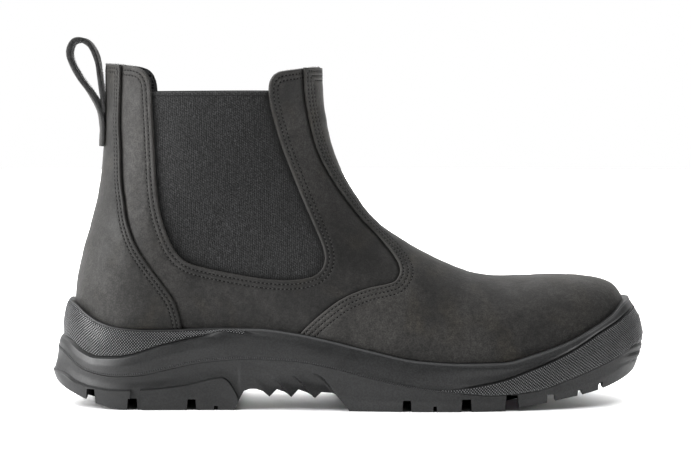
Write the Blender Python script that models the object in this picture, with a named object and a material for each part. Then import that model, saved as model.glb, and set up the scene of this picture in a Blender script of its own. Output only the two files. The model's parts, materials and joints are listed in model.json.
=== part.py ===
"""Right side gore work boot, built as its maker puts it together: outsole, midsole, insole, hollow
leather upper, vamp and back strip laid over it, two elastic gores behind its openings, and a pull loop.

Metres, +Z up, toe towards +X, medial side towards +Y, standing on Z = 0.
"""

import math

import bmesh
import bpy
import numpy as np
from mathutils import Vector

# Driving sizes of the last and the shaft
LAST_LENGTH = 0.2805  # from heel to toe along the upper's bottom edge
BALL_WIDTH = 0.098  # across the upper's bottom edge at the ball
HEEL_WIDTH = 0.070  # across the upper's bottom edge at the heel
ANKLE_WIDTH = 0.067
COLLAR_WIDTH = 0.078
TOE_HEIGHT = 0.0642  # top of the toe box above the floor
COLLAR_HEIGHT = 0.1722

# Driving sizes of the sole
HEEL_SEAT = 0.0285  # height of the insole's underside at the heel
BALL_SEAT = 0.0160
TOE_SEAT = 0.0225
WALL_HEIGHT = 0.0515  # top of the sole's wall at heel and toe
SOLE_SPREAD = 0.0100  # how far the sole stands out beyond the upper's bottom edge at the heel's side
STEP_DEPTH = 0.0014  # step of the side bands
LUG_STEP = 0.0013  # how far the heel's side blocks stand out
GROOVE_DEPTH = 0.0048  # depth of the tread
CHANNEL_WIDTH = 0.0042
INSOLE_THICKNESS = 0.0040

# Driving sizes of the upper's layers
LEATHER = 0.0020  # wall of the upper
OVERLAY = 0.0013  # vamp and back strip
ELASTIC = 0.0018
GORE_OVERLAP = 0.0070  # how far the elastic reaches behind the leather
GAP = 0.0003  # between pieces that meet

# Driving sizes of the pull loop
LOOP_WIDTH = 0.0190
LOOP_THICKNESS = 0.0018

# How finely the curved forms are cut into faces
SECTION_ROWS = 30
SECTION_HALF_COLUMNS = 10
SOLE_STATIONS = 29

# The last's sections, from the toe tip round to the rear of the heel's bottom edge.
# base and top: share of LAST_LENGTH; heel and ball: shares of those half widths at the base;
# level: height of the section's top (see height_at); shoulder: where its top starts to round over;
# power: squareness of that rounding; shaft: how far the shaft's own widths take over higher up.
SECTIONS = (
    # base,  heel, ball,  top,   level, shoulder, power, shaft
    (1.000, 0.00, 0.000, 1.001, 0.38, 0.00, 2.50, 0.00),
    (0.995, 0.00, 0.230, 1.0125, 0.60, 0.00, 2.50, 0.00),
    (0.981, 0.00, 0.440, 1.0085, 0.795, 0.00, 2.50, 0.00),
    (0.953, 0.00, 0.635, 0.9885, 0.922, 0.00, 2.50, 0.00),
    (0.906, 0.00, 0.815, 0.945, 0.983, 0.00, 2.45, 0.00),
    (0.841, 0.00, 0.935, 0.868, 1.000, 0.00, 2.40, 0.00),
    (0.766, 0.00, 0.990, 0.793, 0.990, 0.00, 2.35, 0.00),
    (0.684, 0.00, 1.000, 0.731, 1.010, 0.00, 2.30, 0.00),
    (0.599, 0.00, 0.960, 0.663, 1.078, 0.00, 2.15, 0.06),
    (0.506, 0.00, 0.885, 0.600, 1.168, 0.06, 2.15, 0.25),
    (0.399, 0.30, 0.590, 0.547, 1.267, 0.18, 2.25, 0.50),
    (0.285, 0.62, 0.300, 0.5105, 1.387, 0.32, 2.30, 0.75),
    (0.171, 0.86, 0.100, 0.4845, 1.507, 0.42, 2.30, 0.92),
    (0.086, 0.98, 0.010, 0.4685, 1.613, 0.46, 2.20, 1.00),
    (0.029, 1.00, 0.000, 0.4605, 1.695, 0.47, 2.10, 1.00),
    (0.000, 1.00, 0.000, 0.4565, 1.760, 0.48, 2.00, 1.00),
)
# Above the heel's bottom edge a section runs from the back line to the front line.
# back: share of LAST_LENGTH; back_level and level: heights of its two ends.
SHAFT_SECTIONS = (
    # back, back_level, top, level, shoulder
    (-0.0062, 0.66, 0.4527, 1.810, 0.48),
    (-0.0045, 0.92, 0.4513, 1.860, 0.48),
    (0.0066, 1.110, 0.4506, 1.902, 0.48),
    (0.0238, 1.260, 0.4503, 1.935, 0.48),
    (0.0388, 1.425, 0.4502, 1.957, 0.48),
    (0.0476, 1.620, 0.4502, 1.972, 0.48),
    (0.0505, 1.815, 0.4502, 1.984, 0.49),
    (0.0520, 2.008, 0.4502, 1.992, 0.50),
)
BACK_ROUND = (0.135, 0.195)  # length of the rounding at the back, low and at the collar
SHAFT_BLEND = (0.50, 1.20)  # levels between which the shaft's widths take over from the foot's
ANKLE_LEVEL = 1.25

# The foot's bend seen from above: share of LAST_LENGTH, shift to the medial side as share of BALL_WIDTH
SWING = ((0.0, 0.0), (0.25, -0.006), (0.48, -0.030), (0.70, -0.004), (0.86, 0.040), (1.0, 0.078))
FRONT_SQUARENESS = 2.2
SWING_ENDS_AT = 1.6  # level above which the shaft stands straight

# Height of the insole's underside: share of LAST_LENGTH, and shares of the three seats
SEAT = (
    # station, heel, ball, toe
    (0.00, 1.00, 0.00, 0.0),
    (0.22, 0.97, 0.00, 0.0),
    (0.45, 0.55, 0.50, 0.0),
    (0.70, 0.00, 1.00, 0.0),
    (0.85, 0.00, 0.75, 0.25),
    (1.00, 0.00, 0.00, 1.0),
)

# The sole's lines seen from the side: share of LAST_LENGTH, share of WALL_HEIGHT
RIM_LINE = (
    (0.0, 1.020), (0.014, 0.982), (0.031, 0.904), (0.055, 0.827), (0.085, 0.783), (0.13, 0.765), (0.17, 0.767),
    (0.26, 0.784), (0.33, 0.784), (0.40, 0.742), (0.46, 0.676), (0.535, 0.578), (0.62, 0.482), (0.70, 0.456),
    (0.77, 0.460), (0.82, 0.524), (0.885, 0.640), (0.93, 0.763), (0.965, 0.880), (0.985, 0.980), (1.0, 1.016),
)
STEP_LINE = (
    (0.0, 0.665), (0.014, 0.631), (0.031, 0.553), (0.055, 0.501), (0.085, 0.507), (0.12, 0.550), (0.135, 0.582),
    (0.17, 0.638), (0.24, 0.719), (0.28, 0.764), (0.33, 0.720), (0.40, 0.640), (0.51, 0.440), (0.60, 0.273),
    (0.66, 0.208), (0.715, 0.252), (0.76, 0.300), (0.82, 0.414), (0.885, 0.570), (0.93, 0.723), (0.965, 0.830),
    (0.985, 0.905), (1.0, 0.946),
)
PARTING_LINE = (
    (0.0, 0.554), (0.014, 0.496), (0.031, 0.398), (0.055, 0.341), (0.085, 0.319), (0.12, 0.332), (0.165, 0.384),
    (0.24, 0.465), (0.32, 0.495), (0.40, 0.480), (0.46, 0.428), (0.535, 0.324), (0.615, 0.228), (0.70, 0.173),
    (0.75, 0.152), (0.82, 0.186), (0.88, 0.294), (0.93, 0.408), (0.965, 0.505), (0.985, 0.595), (1.0, 0.660),
)
LUG_LINE = (
    (0.0, 0.335), (0.014, 0.318), (0.031, 0.253), (0.055, 0.212), (0.085, 0.192), (0.10, 0.194), (0.20, 0.242),
    (0.258, 0.313), (0.270, 0.320), (0.281, 0.289), (0.292, 0.205), (0.299, 0.130), (0.3035, 0.050), (0.33, 0.080),
    (0.46, 0.120), (0.60, 0.105), (0.75, 0.090), (0.86, 0.175), (0.93, 0.290), (0.98, 0.440), (1.0, 0.530),
)
TREAD_LINE = (
    (0.0, 0.225), (0.014, 0.170), (0.031, 0.120), (0.055, 0.062), (0.080, 0.022), (0.105, 0.0), (0.75, 0.0),
    (0.80, 0.038), (0.88, 0.114), (0.93, 0.172), (0.965, 0.240), (0.985, 0.295), (1.0, 0.350),
)

# How far each line of the sole's side stands out beyond the upper's bottom edge, as shares of SOLE_SPREAD
SPREAD_STATIONS = (0.0, 0.02, 0.12, 0.45, 0.70, 0.90, 0.98, 1.0)
RIM_SPREAD = (0.44, 0.42, 0.37, 0.32, 0.35, 0.42, 0.52, 0.56)
LIP_SPREAD = (0.56, 0.54, 0.50, 0.47, 0.50, 0.58, 0.66, 0.67)
BAND_SPREAD = (0.74, 0.70, 0.66, 0.56, 0.57, 0.68, 0.73, 0.74)
STEP_SPREAD = (0.78, 0.74, 0.72, 0.62, 0.61, 0.74, 0.78, 0.79)
WALL_SPREAD = (0.92, 0.90, 0.87, 0.66, 0.63, 0.86, 1.04, 1.14)
PARTING_SPREAD = (1.00, 0.96, 0.90, 0.68, 0.65, 0.90, 1.18, 1.31)
LUG_SPREAD = (1.20, 1.09, 0.93, 0.66, 0.66, 0.88, 1.17, 1.27)
TREAD_SPREAD = (0.94, 0.92, 0.88, 0.56, 0.62, 0.80, 0.90, 0.92)
STEP_SHARE = ((0.0, 1.0), (0.24, 1.0), (0.31, 0.0), (0.62, 0.0), (0.74, 1.0), (1.0, 1.0))
LUG_SHARE = ((0.0, 1.0), (0.298, 1.0), (0.305, 0.0), (1.0, 0.0))
BAND_HALF = 0.010  # half the height of a step, as share of WALL_HEIGHT
LIP_DROP = 0.045  # height of the rim's rounded lip, as share of WALL_HEIGHT
# Between outsole and midsole the joint drops behind the wall: share of HEEL_WIDTH inwards, share of the drop
JOINT_RINGS = ((0.0, 0.0), (0.07, 0.55), (0.15, 1.0))
JOINT_DEPTH = 0.30  # least rubber above the joint, as share of the insole's height there
JOINT_FLOOR = 0.19  # the joint's least height above the tread, as share of HEEL_SEAT
BREAST_STATIONS = (0.262, 0.270, 0.277, 0.284, 0.291, 0.298, 0.305)

# The hollow under the arch, with the points of its three ribs: share of LAST_LENGTH, share of HEEL_SEAT
ARCH = (
    (0.286, -0.20), (0.289, 0.00), (0.2955, 0.12), (0.301, 0.24), (0.307, 0.34), (0.318, 0.375), (0.330, 0.370),
    (0.341, 0.335), (0.3523, 0.240), (0.3658, 0.360), (0.3793, 0.314), (0.3918, 0.239), (0.4043, 0.362),
    (0.4203, 0.306), (0.4338, 0.228), (0.4453, 0.324), (0.4697, 0.302), (0.4815, 0.17), (0.4940, 0.01),
    (0.498, -0.20),
)
# Flutes that run up the side between the ribs: foot and head as shares of LAST_LENGTH and of HEEL_SEAT
FLUTES = (
    # foot_x, foot_z, head_x, head_z, foot radius, head radius as shares of HEEL_SEAT
    (0.333, 0.14, 0.300, 0.62, 0.25, 0.07),
    (0.372, 0.11, 0.330, 0.66, 0.25, 0.07),
    (0.413, 0.10, 0.362, 0.68, 0.25, 0.07),
    (0.454, 0.08, 0.400, 0.66, 0.25, 0.07),
)
FLUTE_DEPTH = 0.078  # as share of HEEL_SEAT

# Notches through the sole's side: middle, width and height as shares of LAST_LENGTH and of HEEL_SEAT,
# how far in they reach from the upper's edge as share of BALL_WIDTH, and their sweep towards the middle.
# The one with a negative reach only parts the heel's raised side blocks.
NOTCHES = (
    # middle, width, height, reach, sweep
    (0.0310, 0.0190, 0.13, 0.055, 0.10),
    (0.1070, 0.0210, 0.20, 1.00, 0.05),
    (0.1125, 0.0230, 0.40, -0.092, 0.0),
    (0.2130, 0.0170, 0.17, 1.00, 0.10),
    (0.2565, 0.0090, 0.07, 0.16, 0.10),
    (0.5970, 0.0175, 0.185, 1.00, -0.10),
    (0.6470, 0.0080, 0.10, 0.18, -0.10),
    (0.7030, 0.0200, 0.21, 1.00, -0.12),
    (0.7850, 0.0280, 0.23, 1.00, -0.14),
    (0.8560, 0.0170, 0.17, 1.00, -0.16),
    (0.9100, 0.0110, 0.10, 0.10, -0.18),
    (0.9500, 0.0110, 0.10, 0.07, -0.18),
)
# Cross grooves of the middle row of lugs, as shares of LAST_LENGTH
MIDDLE_GROOVES = (0.075, 0.160, 0.245, 0.555, 0.645, 0.740, 0.825, 0.885)
CHANNEL_Y = 0.155  # the two long channels' distance from the middle, as share of BALL_WIDTH
CHANNEL_ENDS = ((0.06, 0.31), (0.48, 0.915))

# Outlines on the upper seen from the side: share of LAST_LENGTH, level
GORE_EDGE = (
    (0.0732, 2.20), (0.0732, 2.005), (0.1022, 1.998), (0.1182, 1.984), (0.1282, 1.958), (0.1347, 1.910),
    (0.1377, 1.800), (0.1412, 1.640), (0.1452, 1.470), (0.1532, 1.325), (0.1662, 1.225), (0.1822, 1.140),
    (0.2032, 1.088), (0.2352, 1.060), (0.2832, 1.034), (0.3312, 1.013), (0.3832, 1.004), (0.4232, 1.017),
    (0.4432, 1.045), (0.4532, 1.095), (0.4512, 1.160), (0.4352, 1.265), (0.4112, 1.410), (0.3832, 1.595),
    (0.3672, 1.730), (0.3572, 1.840), (0.3567, 1.912), (0.3632, 1.948), (0.3752, 1.970), (0.4032, 1.981),
    (0.4302, 1.989), (0.4302, 2.20),
)
GORE_TOP_LEVEL = 1.878
GORE_EDGE_SIDES = (5, 26)  # the rows of GORE_EDGE that bound the elastic, below its free top
VAMP_EDGE = (
    (0.4172, 2.20), (0.4177, 1.975), (0.4187, 1.900), (0.4227, 1.815), (0.4322, 1.690), (0.4502, 1.560),
    (0.4782, 1.437), (0.5172, 1.303), (0.5532, 1.204), (0.5792, 1.118), (0.5897, 1.060), (0.5857, 1.020),
    (0.5722, 0.985), (0.5242, 0.940), (0.4792, 0.855), (0.4442, 0.742), (0.4182, 0.640), (0.4032, 0.565),
    (0.3952, 0.480), (0.3952, 0.240),
)
VAMP_FRONT = ((1.2, 0.50), (1.2, 2.20))
STRIP_EDGE = (
    (0.0812, 2.20), (0.0812, 1.960), (0.0787, 1.765), (0.0802, 1.615), (0.0822, 1.465), (0.0872, 1.380),
    (0.0942, 1.270), (0.1102, 1.165), (0.1342, 1.070), (0.1622, 0.955), (0.1822, 0.820), (0.1942, 0.625),
    (0.1972, 0.480),
)

# The pull loop's middle line: distance behind the back line and height, both as shares of COLLAR_HEIGHT.
# Its outer leg comes first, its inner leg last.
LOOP_LINE = (
    # behind, height
    (0.0085, 0.7620), (0.0085, 0.7950), (0.0088, 0.8230), (0.0140, 0.8520), (0.0260, 0.8850), (0.0500, 0.9230),
    (0.0795, 0.9640), (0.1000, 1.0000), (0.1100, 1.0320), (0.1070, 1.0590), (0.0930, 1.0765), (0.0710, 1.0805),
    (0.0500, 1.0700), (0.0330, 1.0460), (0.0235, 1.0150), (0.0185, 0.9760), (0.0140, 0.9300), (0.0095, 0.8930),
    (0.0080, 0.8620),
)
LOOP_POINTS = 34
LOOP_SLICES = 4

COLOURS = {
    # name: colour, roughness
    "leather": ((0.045, 0.044, 0.042, 1.0), 0.62),
    "leather_overlay": ((0.050, 0.049, 0.046, 1.0), 0.60),
    "elastic": ((0.030, 0.030, 0.031, 1.0), 0.85),
    "strap": ((0.040, 0.039, 0.038, 1.0), 0.72),
    "midsole_rubber": ((0.040, 0.041, 0.042, 1.0), 0.50),
    "outsole_rubber": ((0.035, 0.036, 0.037, 1.0), 0.55),
    "insole_board": ((0.060, 0.060, 0.062, 1.0), 0.90),
}


def smooth_curve(points):
    """A function through the points (station, value, ...) that never overshoots them."""
    rows = np.array(points, float)
    x, y = rows[:, 0], rows[:, 1:]
    steps = np.diff(x)
    slopes = np.diff(y, axis=0) / steps[:, None]
    tangents = np.zeros_like(y)
    tangents[0], tangents[-1] = slopes[0], slopes[-1]
    same_way = slopes[:-1] * slopes[1:] > 0
    before, after = (2 * steps[1:] + steps[:-1])[:, None], (steps[1:] + 2 * steps[:-1])[:, None]
    with np.errstate(divide="ignore", invalid="ignore"):
        mean = (before + after) / (before / slopes[:-1] + after / slopes[1:])
    tangents[1:-1] = np.where(same_way, mean, 0.0)

    def at(station):
        s = np.clip(np.asarray(station, float), x[0], x[-1])
        i = np.clip(np.searchsorted(x, s, side="right") - 1, 0, len(x) - 2)
        h = steps[i]
        t = (s - x[i]) / h
        t, h = t[..., None], h[..., None]
        found = (
            (2 * t**3 - 3 * t**2 + 1) * y[i]
            + (t**3 - 2 * t**2 + t) * h * tangents[i]
            + (3 * t**2 - 2 * t**3) * y[i + 1]
            + (t**3 - t**2) * h * tangents[i + 1]
        )
        return found[..., 0] if y.shape[1] == 1 else found

    return at


def through(points, count):
    """count points, evenly spaced by row, on a Catmull-Rom curve through the rows."""
    p = np.array(points, float)
    p = np.vstack([2 * p[0] - p[1], p, 2 * p[-1] - p[-2]])
    found = []
    for s in np.linspace(0, len(points) - 1, count):
        i = min(int(s), len(points) - 2)
        t = s - i
        a, b, c, d = p[i : i + 4]
        found.append(0.5 * (2 * b + (c - a) * t + (2 * a - 5 * b + 4 * c - d) * t**2 + (3 * b - a - 3 * c + d) * t**3))
    return np.array(found)


def ramp(value, low, high):
    """0 below low, 1 above high, smooth between."""
    t = np.clip((value - low) / (high - low), 0.0, 1.0)
    return t * t * (3 - 2 * t)


def height_at(level):
    """Height of a level: 0 is the floor, 1 the toe box's top and 2 the collar."""
    level = np.asarray(level, float)
    above = TOE_HEIGHT + (level - 1) * (COLLAR_HEIGHT - TOE_HEIGHT)
    return np.where(level <= 1, level * TOE_HEIGHT, above)


def level_of(height):
    """The level of a height, the other way round."""
    height = np.asarray(height, float)
    above = 1 + (height - TOE_HEIGHT) / (COLLAR_HEIGHT - TOE_HEIGHT)
    return np.where(height <= TOE_HEIGHT, height / TOE_HEIGHT, above)


swing_share = smooth_curve(SWING)
seat_shares = smooth_curve(SEAT)
back_share = smooth_curve([(0.30, 0.0)] + [(row[1], row[0]) for row in SHAFT_SECTIONS])


def seat_height(station):
    """Height of the upper's bottom edge at a share of LAST_LENGTH."""
    return seat_shares(station) @ np.array([HEEL_SEAT, BALL_SEAT, TOE_SEAT])


def swing_at(x, z):
    """Sideways shift of the foot's middle line."""
    fade = 1 - ramp(level_of(z), 1.0, SWING_ENDS_AT)
    return swing_share(x / LAST_LENGTH) * BALL_WIDTH * fade


def shaft_half_width(level):
    widths = smooth_curve(((0.3, HEEL_WIDTH), (0.9, HEEL_WIDTH), (ANKLE_LEVEL, ANKLE_WIDTH), (2.0, COLLAR_WIDTH)))
    return widths(level) / 2


def back_rounding(x, z):
    """Share of the full width that the rounded back of heel and shaft leaves at this place."""
    level = level_of(z)
    low, high = BACK_ROUND
    length = LAST_LENGTH * (low + (high - low) * ramp(level, 0.8, 2.0))
    t = np.clip((x - back_share(level) * LAST_LENGTH) / length, 0.0, 1.0)
    return np.sqrt(np.clip(1 - (1 - t) ** 2, 0.0, 1.0))


def section_rows():
    """Both section tables as one: base x and z, half width, top x and z, shoulder, power and shaft share."""
    rows = []
    for base, heel, ball, top, level, shoulder, power, shaft in SECTIONS:
        half = (heel * HEEL_WIDTH + ball * BALL_WIDTH) / 2
        rows.append(
            (base * LAST_LENGTH, seat_height(base), half, top * LAST_LENGTH, height_at(level), shoulder, power, shaft)
        )
    for back, back_level, top, level, shoulder in SHAFT_SECTIONS:
        rows.append(
            (back * LAST_LENGTH, height_at(back_level), HEEL_WIDTH / 2, top * LAST_LENGTH, height_at(level),
             shoulder, 2.0, 1.0)
        )
    return rows


def last_grid():
    """The upper's outermost surface: a grid of points, a row for each section, from its lateral bottom
    edge over the top to its medial bottom edge."""
    joint_row = len(SECTIONS) - 1
    all_rows = section_rows()
    foot_count = round(SECTION_ROWS * 0.62)
    foot = through(all_rows[: joint_row + 2], 400)
    chosen = np.linspace(0, len(foot) - 1 - 400 // (joint_row + 1), foot_count).round().astype(int)
    shaft = through(all_rows[joint_row:], SECTION_ROWS - foot_count + 1)[1:]
    rows = np.vstack([foot[chosen], shaft])
    rows[foot_count - 1] = all_rows[joint_row]
    even = np.linspace(0, 1, SECTION_HALF_COLUMNS + 1)
    from_edge = 0.75 * np.sin(np.pi / 2 * even) + 0.25 * even
    from_back = 0.85 * (1 - np.cos(np.pi * even)) / 2 + 0.15 * even
    grid = []
    for n, (base_x, base_z, half, top_x, top_z, shoulder, power, shaft) in enumerate(rows):
        rise = from_edge + (from_back - from_edge) * ramp(shaft, 0.5, 1.0)
        x = base_x + (top_x - base_x) * rise
        z = base_z + (top_z - base_z) * rise
        take = shaft * ramp(level_of(z), *SHAFT_BLEND)
        width = max(half, 0.0) * (1 - take) + shaft_half_width(level_of(z)) * take
        over = np.clip((rise - shoulder) / (1 - shoulder), 0.0, 1.0)
        front = np.clip(1 - over**power, 0.0, 1.0) ** (1 / FRONT_SQUARENESS)
        y = width * front * back_rounding(x, z)
        if n >= foot_count - 1:
            y[0] = 0.0
        y[-1] = 0.0
        middle = swing_at(x, z)
        lateral = np.stack([x, middle - y, z], axis=1)
        medial = np.stack([x, middle + y, z], axis=1)
        grid.append(np.vstack([lateral, medial[-2::-1]]))
    return np.array(grid), foot_count


def halved(a, b, c, d):
    """A quad as two triangles. Layers that lie on each other are all split along the same diagonals."""
    return [tuple(t) for t in ((a, b, c), (a, c, d)) if len(set(t)) == 3]


def grid_faces(rows, columns):
    """Triangles of a grid whose points are numbered row by row."""
    faces = []
    for i in range(rows - 1):
        for j in range(columns - 1):
            a = i * columns + j
            faces += halved(a, a + 1, a + columns + 1, a + columns)
    return faces


def new_mesh(name, points, faces, weld=1e-6):
    """A mesh with its doubled points welded, its collapsed faces dropped and its normals made consistent."""
    mesh = bpy.data.meshes.new(name)
    mesh.from_pydata([tuple(map(float, p)) for p in points], [], faces)
    shape = bmesh.new()
    shape.from_mesh(mesh)
    bmesh.ops.remove_doubles(shape, verts=shape.verts, dist=weld)
    bmesh.ops.dissolve_degenerate(shape, edges=shape.edges, dist=weld)
    bmesh.ops.recalc_face_normals(shape, faces=shape.faces)
    shape.to_mesh(mesh)
    shape.free()
    return mesh


def outward_normals(grid):
    """The surface's outward direction at each grid point."""
    rows, columns, _ = grid.shape
    along = np.gradient(grid, axis=0)
    across = np.gradient(grid, axis=1)
    normals = np.cross(across, along)
    lengths = np.linalg.norm(normals, axis=2, keepdims=True)
    normals = normals / np.maximum(lengths, 1e-12)
    middle = grid.mean(axis=1, keepdims=True)
    if ((grid - middle) * normals).sum() < 0:
        normals = -normals
    normals[0] = (1.0, 0.0, 0.0)
    return normals


def make_forms():
    """The last's grid, its outward directions and the row where the bottom edge ends at the heel."""
    grid, foot_count = last_grid()
    normals = outward_normals(grid)
    back = slice(foot_count - 1, None)
    # The two sides meet on the back line, so they share one direction there.
    shared = normals[back, 0] + normals[back, -1]
    shared[:, 1] = 0.0
    normals[back, 0] = normals[back, -1] = shared
    for column in (0, -1):
        normals[:foot_count, column, 2] = 0.0
    normals[:, SECTION_HALF_COLUMNS, 1] *= 0.0
    normals[-1, :, 2] = 0.0
    normals /= np.maximum(np.linalg.norm(normals, axis=2, keepdims=True), 1e-12)
    return grid, normals, foot_count


def material(name):
    """A Principled material with the part's colour and roughness."""
    found = bpy.data.materials.get(name)
    if found:
        return found
    colour, roughness = COLOURS[name]
    made = bpy.data.materials.new(name)
    made.use_nodes = True
    shader = made.node_tree.nodes["Principled BSDF"]
    shader.inputs["Base Color"].default_value = colour
    shader.inputs["Roughness"].default_value = roughness
    shader.inputs["Metallic"].default_value = 0.0
    made.diffuse_color = colour
    return made


def add_object(name, mesh, collection, finish=None):
    made = bpy.data.objects.new(name, mesh)
    collection.objects.link(made)
    if finish:
        mesh.materials.append(material(finish))
        mesh.shade_smooth()
        mesh.set_sharp_from_angle(angle=math.radians(35))
    else:
        made.hide_render = True
        made.display_type = "WIRE"
    return made


def boolean(target, cutter, operation):
    cut = target.modifiers.new(cutter.name, "BOOLEAN")
    cut.operation = operation
    cut.solver = "EXACT"
    cut.object = cutter
    return cut


def boolean_all(target, cutters, operation):
    cut = target.modifiers.new(cutters.name, "BOOLEAN")
    cut.operation = operation
    cut.solver = "EXACT"
    cut.operand_type = "COLLECTION"
    cut.collection = cutters
    return cut


def skin(name, forms, distance, thickness, collection, finish=None):
    """A shell open at the collar and underneath, whose outer face lies distance outside the last. Both
    its faces follow the last's own directions, so that one layer never cuts into the next."""
    grid, normals, foot_count = forms
    rows, columns, _ = grid.shape
    outer = (grid + normals * distance).reshape(-1, 3)
    inner = (grid + normals * (distance - thickness)).reshape(-1, 3)
    faces = grid_faces(rows, columns)
    count = rows * columns
    faces += [tuple(count + corner for corner in reversed(face)) for face in faces]
    rims = [(i * columns, (i + 1) * columns) for i in range(foot_count - 1)]
    rims += [((i + 1) * columns - 1, (i + 2) * columns - 1) for i in range(foot_count - 1)]
    top = (rows - 1) * columns
    rims += [(top + j, top + j + 1) for j in range(columns - 1)]
    faces += [(a, b, b + count, a + count) for a, b in rims]
    return add_object(name, new_mesh(name, np.vstack([outer, inner]), faces), collection, finish)


def closed_form(name, forms, distance, drop, collection):
    """The whole last as one closed solid, distance outside its surface, its bottom lowered by drop."""
    grid, normals, foot_count = forms
    rows, columns, _ = grid.shape
    points = grid + normals * distance
    points[:foot_count, 0, 2] -= drop
    points[:foot_count, -1, 2] -= drop
    faces = grid_faces(rows, columns)
    for i in range(foot_count - 1):
        first, after = i * columns, (i + 1) * columns
        faces.append((first, after, after + columns - 1, first + columns - 1))
    top = (rows - 1) * columns
    for j in range(SECTION_HALF_COLUMNS):
        faces.append(tuple(dict.fromkeys((top + j, top + columns - 1 - j, top + columns - 2 - j, top + j + 1))))
    return add_object(name, new_mesh(name, points.reshape(-1, 3), faces), collection)


def side_prism(name, outline, low_y, high_y, collection):
    """An outline seen from the side, (x, z), drawn out from low_y to high_y."""
    count = len(outline)
    points = [(x, low_y, z) for x, z in outline] + [(x, high_y, z) for x, z in outline]
    faces = [tuple(range(count)), tuple(range(count, 2 * count))]
    faces += [(i, (i + 1) % count, (i + 1) % count + count, i + count) for i in range(count)]
    return add_object(name, new_mesh(name, points, faces), collection)


def upper_outline(table):
    """A table of shares and levels as points (x, z)."""
    return [(share * LAST_LENGTH, float(height_at(level))) for share, level in table]


def grown(outline, distance):
    """An open outline moved sideways, to its left, by distance."""
    points = np.array(outline)
    along = np.gradient(points, axis=0)
    along /= np.linalg.norm(along, axis=1, keepdims=True)
    return points + np.stack([-along[:, 1], along[:, 0]], axis=1) * distance


def sole_stations():
    """Shares of LAST_LENGTH at which the sole is cut into sections: evenly along its edge, closer
    together round the heel and the toe, with a few more at the heel's breast."""
    x, half = bottom_edge()
    share = x / LAST_LENGTH
    round_ends = 1.0 + 1.3 * (1 - ramp(share, 0.03, 0.16)) + 1.3 * ramp(share, 0.86, 0.97)
    steps = np.hypot(np.diff(x), np.diff(half)) * (round_ends[1:] + round_ends[:-1]) / 2
    way = np.concatenate([[0.0], np.cumsum(steps)])
    stations = np.interp(np.linspace(0, way[-1], SOLE_STATIONS), way, share)
    stations[0], stations[-1] = 0.0, 1.0
    keep = [s for s in stations if min(abs(s - b) for b in BREAST_STATIONS) > 0.006]
    return np.array(sorted(keep + list(BREAST_STATIONS)))


def bottom_edge():
    """The upper's bottom edge from above: half width and middle line against the share of LAST_LENGTH."""
    fine = through(section_rows()[: len(SECTIONS)], 1200)[::-1]
    x = np.maximum.accumulate(np.clip(fine[:, 0], 0.0, LAST_LENGTH))
    x = np.concatenate([np.linspace(0.0, x[1], 40)[:-1], x[1:]])
    half = np.interp(x, fine[:, 0], np.maximum(fine[:, 2], 0.0)) * back_rounding(x, HEEL_SEAT)
    half[0] = half[-1] = 0.0
    return x, half


def sole_ring_base():
    """The closed outline that the sole's lines are measured from: points, outward directions and
    stations, from the heel along the lateral side to the toe and back along the medial side."""
    edge_x, edge_half = bottom_edge()
    stations = sole_stations()
    x = stations * LAST_LENGTH
    half = np.interp(x, edge_x, edge_half)
    half[0] = half[-1] = 0.0
    middle = swing_share(stations) * BALL_WIDTH
    lateral = np.stack([x, middle - half], axis=1)
    medial = np.stack([x, middle + half], axis=1)
    ring = np.vstack([lateral, medial[-2:0:-1]])
    before, after = np.roll(ring, 1, axis=0), np.roll(ring, -1, axis=0)
    unit = [d / np.linalg.norm(d, axis=1, keepdims=True) for d in (ring - before, after - ring)]
    along = unit[0] + unit[1]
    along /= np.linalg.norm(along, axis=1, keepdims=True)
    outward = np.stack([along[:, 1], -along[:, 0]], axis=1)
    ring_stations = np.concatenate([stations, stations[-2:0:-1]])
    return ring, outward, ring_stations


def spread_curve(shares):
    return smooth_curve(list(zip(SPREAD_STATIONS, shares)))


def sole_line(base, heights, spread, extra=0.0, raise_by=0.0):
    """One line round the sole: its height from a side view table, its place from a spread table."""
    ring, outward, stations = base
    out = spread_curve(spread)(stations) * SOLE_SPREAD + extra
    z = smooth_curve(heights)(stations) * WALL_HEIGHT + raise_by
    flat = ring + outward * np.asarray(out)[:, None]
    return np.column_stack([flat, z])


def joint_lines(base, side):
    """The lines of the joint between outsole and midsole, going inwards. side is -1 for the outsole's
    face and +1 for the midsole's, which lie GAP apart."""
    ring, outward, stations = base
    outer = sole_line(base, PARTING_LINE, PARTING_SPREAD)
    tread = smooth_curve(TREAD_LINE)(stations) * WALL_HEIGHT
    low = np.maximum(seat_height(stations) * (1 - JOINT_DEPTH) - 0.0, 0.0)
    low = np.minimum(low, outer[:, 2])
    low = np.maximum(np.minimum(low, tread + 2.2 * JOINT_FLOOR * HEEL_SEAT), tread + JOINT_FLOOR * HEEL_SEAT)
    lines = []
    for inwards, share in JOINT_RINGS:
        middle = np.array([LAST_LENGTH / 2, 0.0])
        limit = np.abs(ring[:, 1] - swing_share(stations) * BALL_WIDTH)
        step = inwards * HEEL_WIDTH
        flat = outer[:, :2] - outward * step
        cross = np.minimum(1.0, (limit + step) / (step + 1e-9))
        flat = flat + (middle - flat) * (1 - cross)[:, None] * 0.02
        z = outer[:, 2] + (low - outer[:, 2]) * share + side * GAP / 2
        lines.append(np.column_stack([flat, z]))
    return lines


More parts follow.
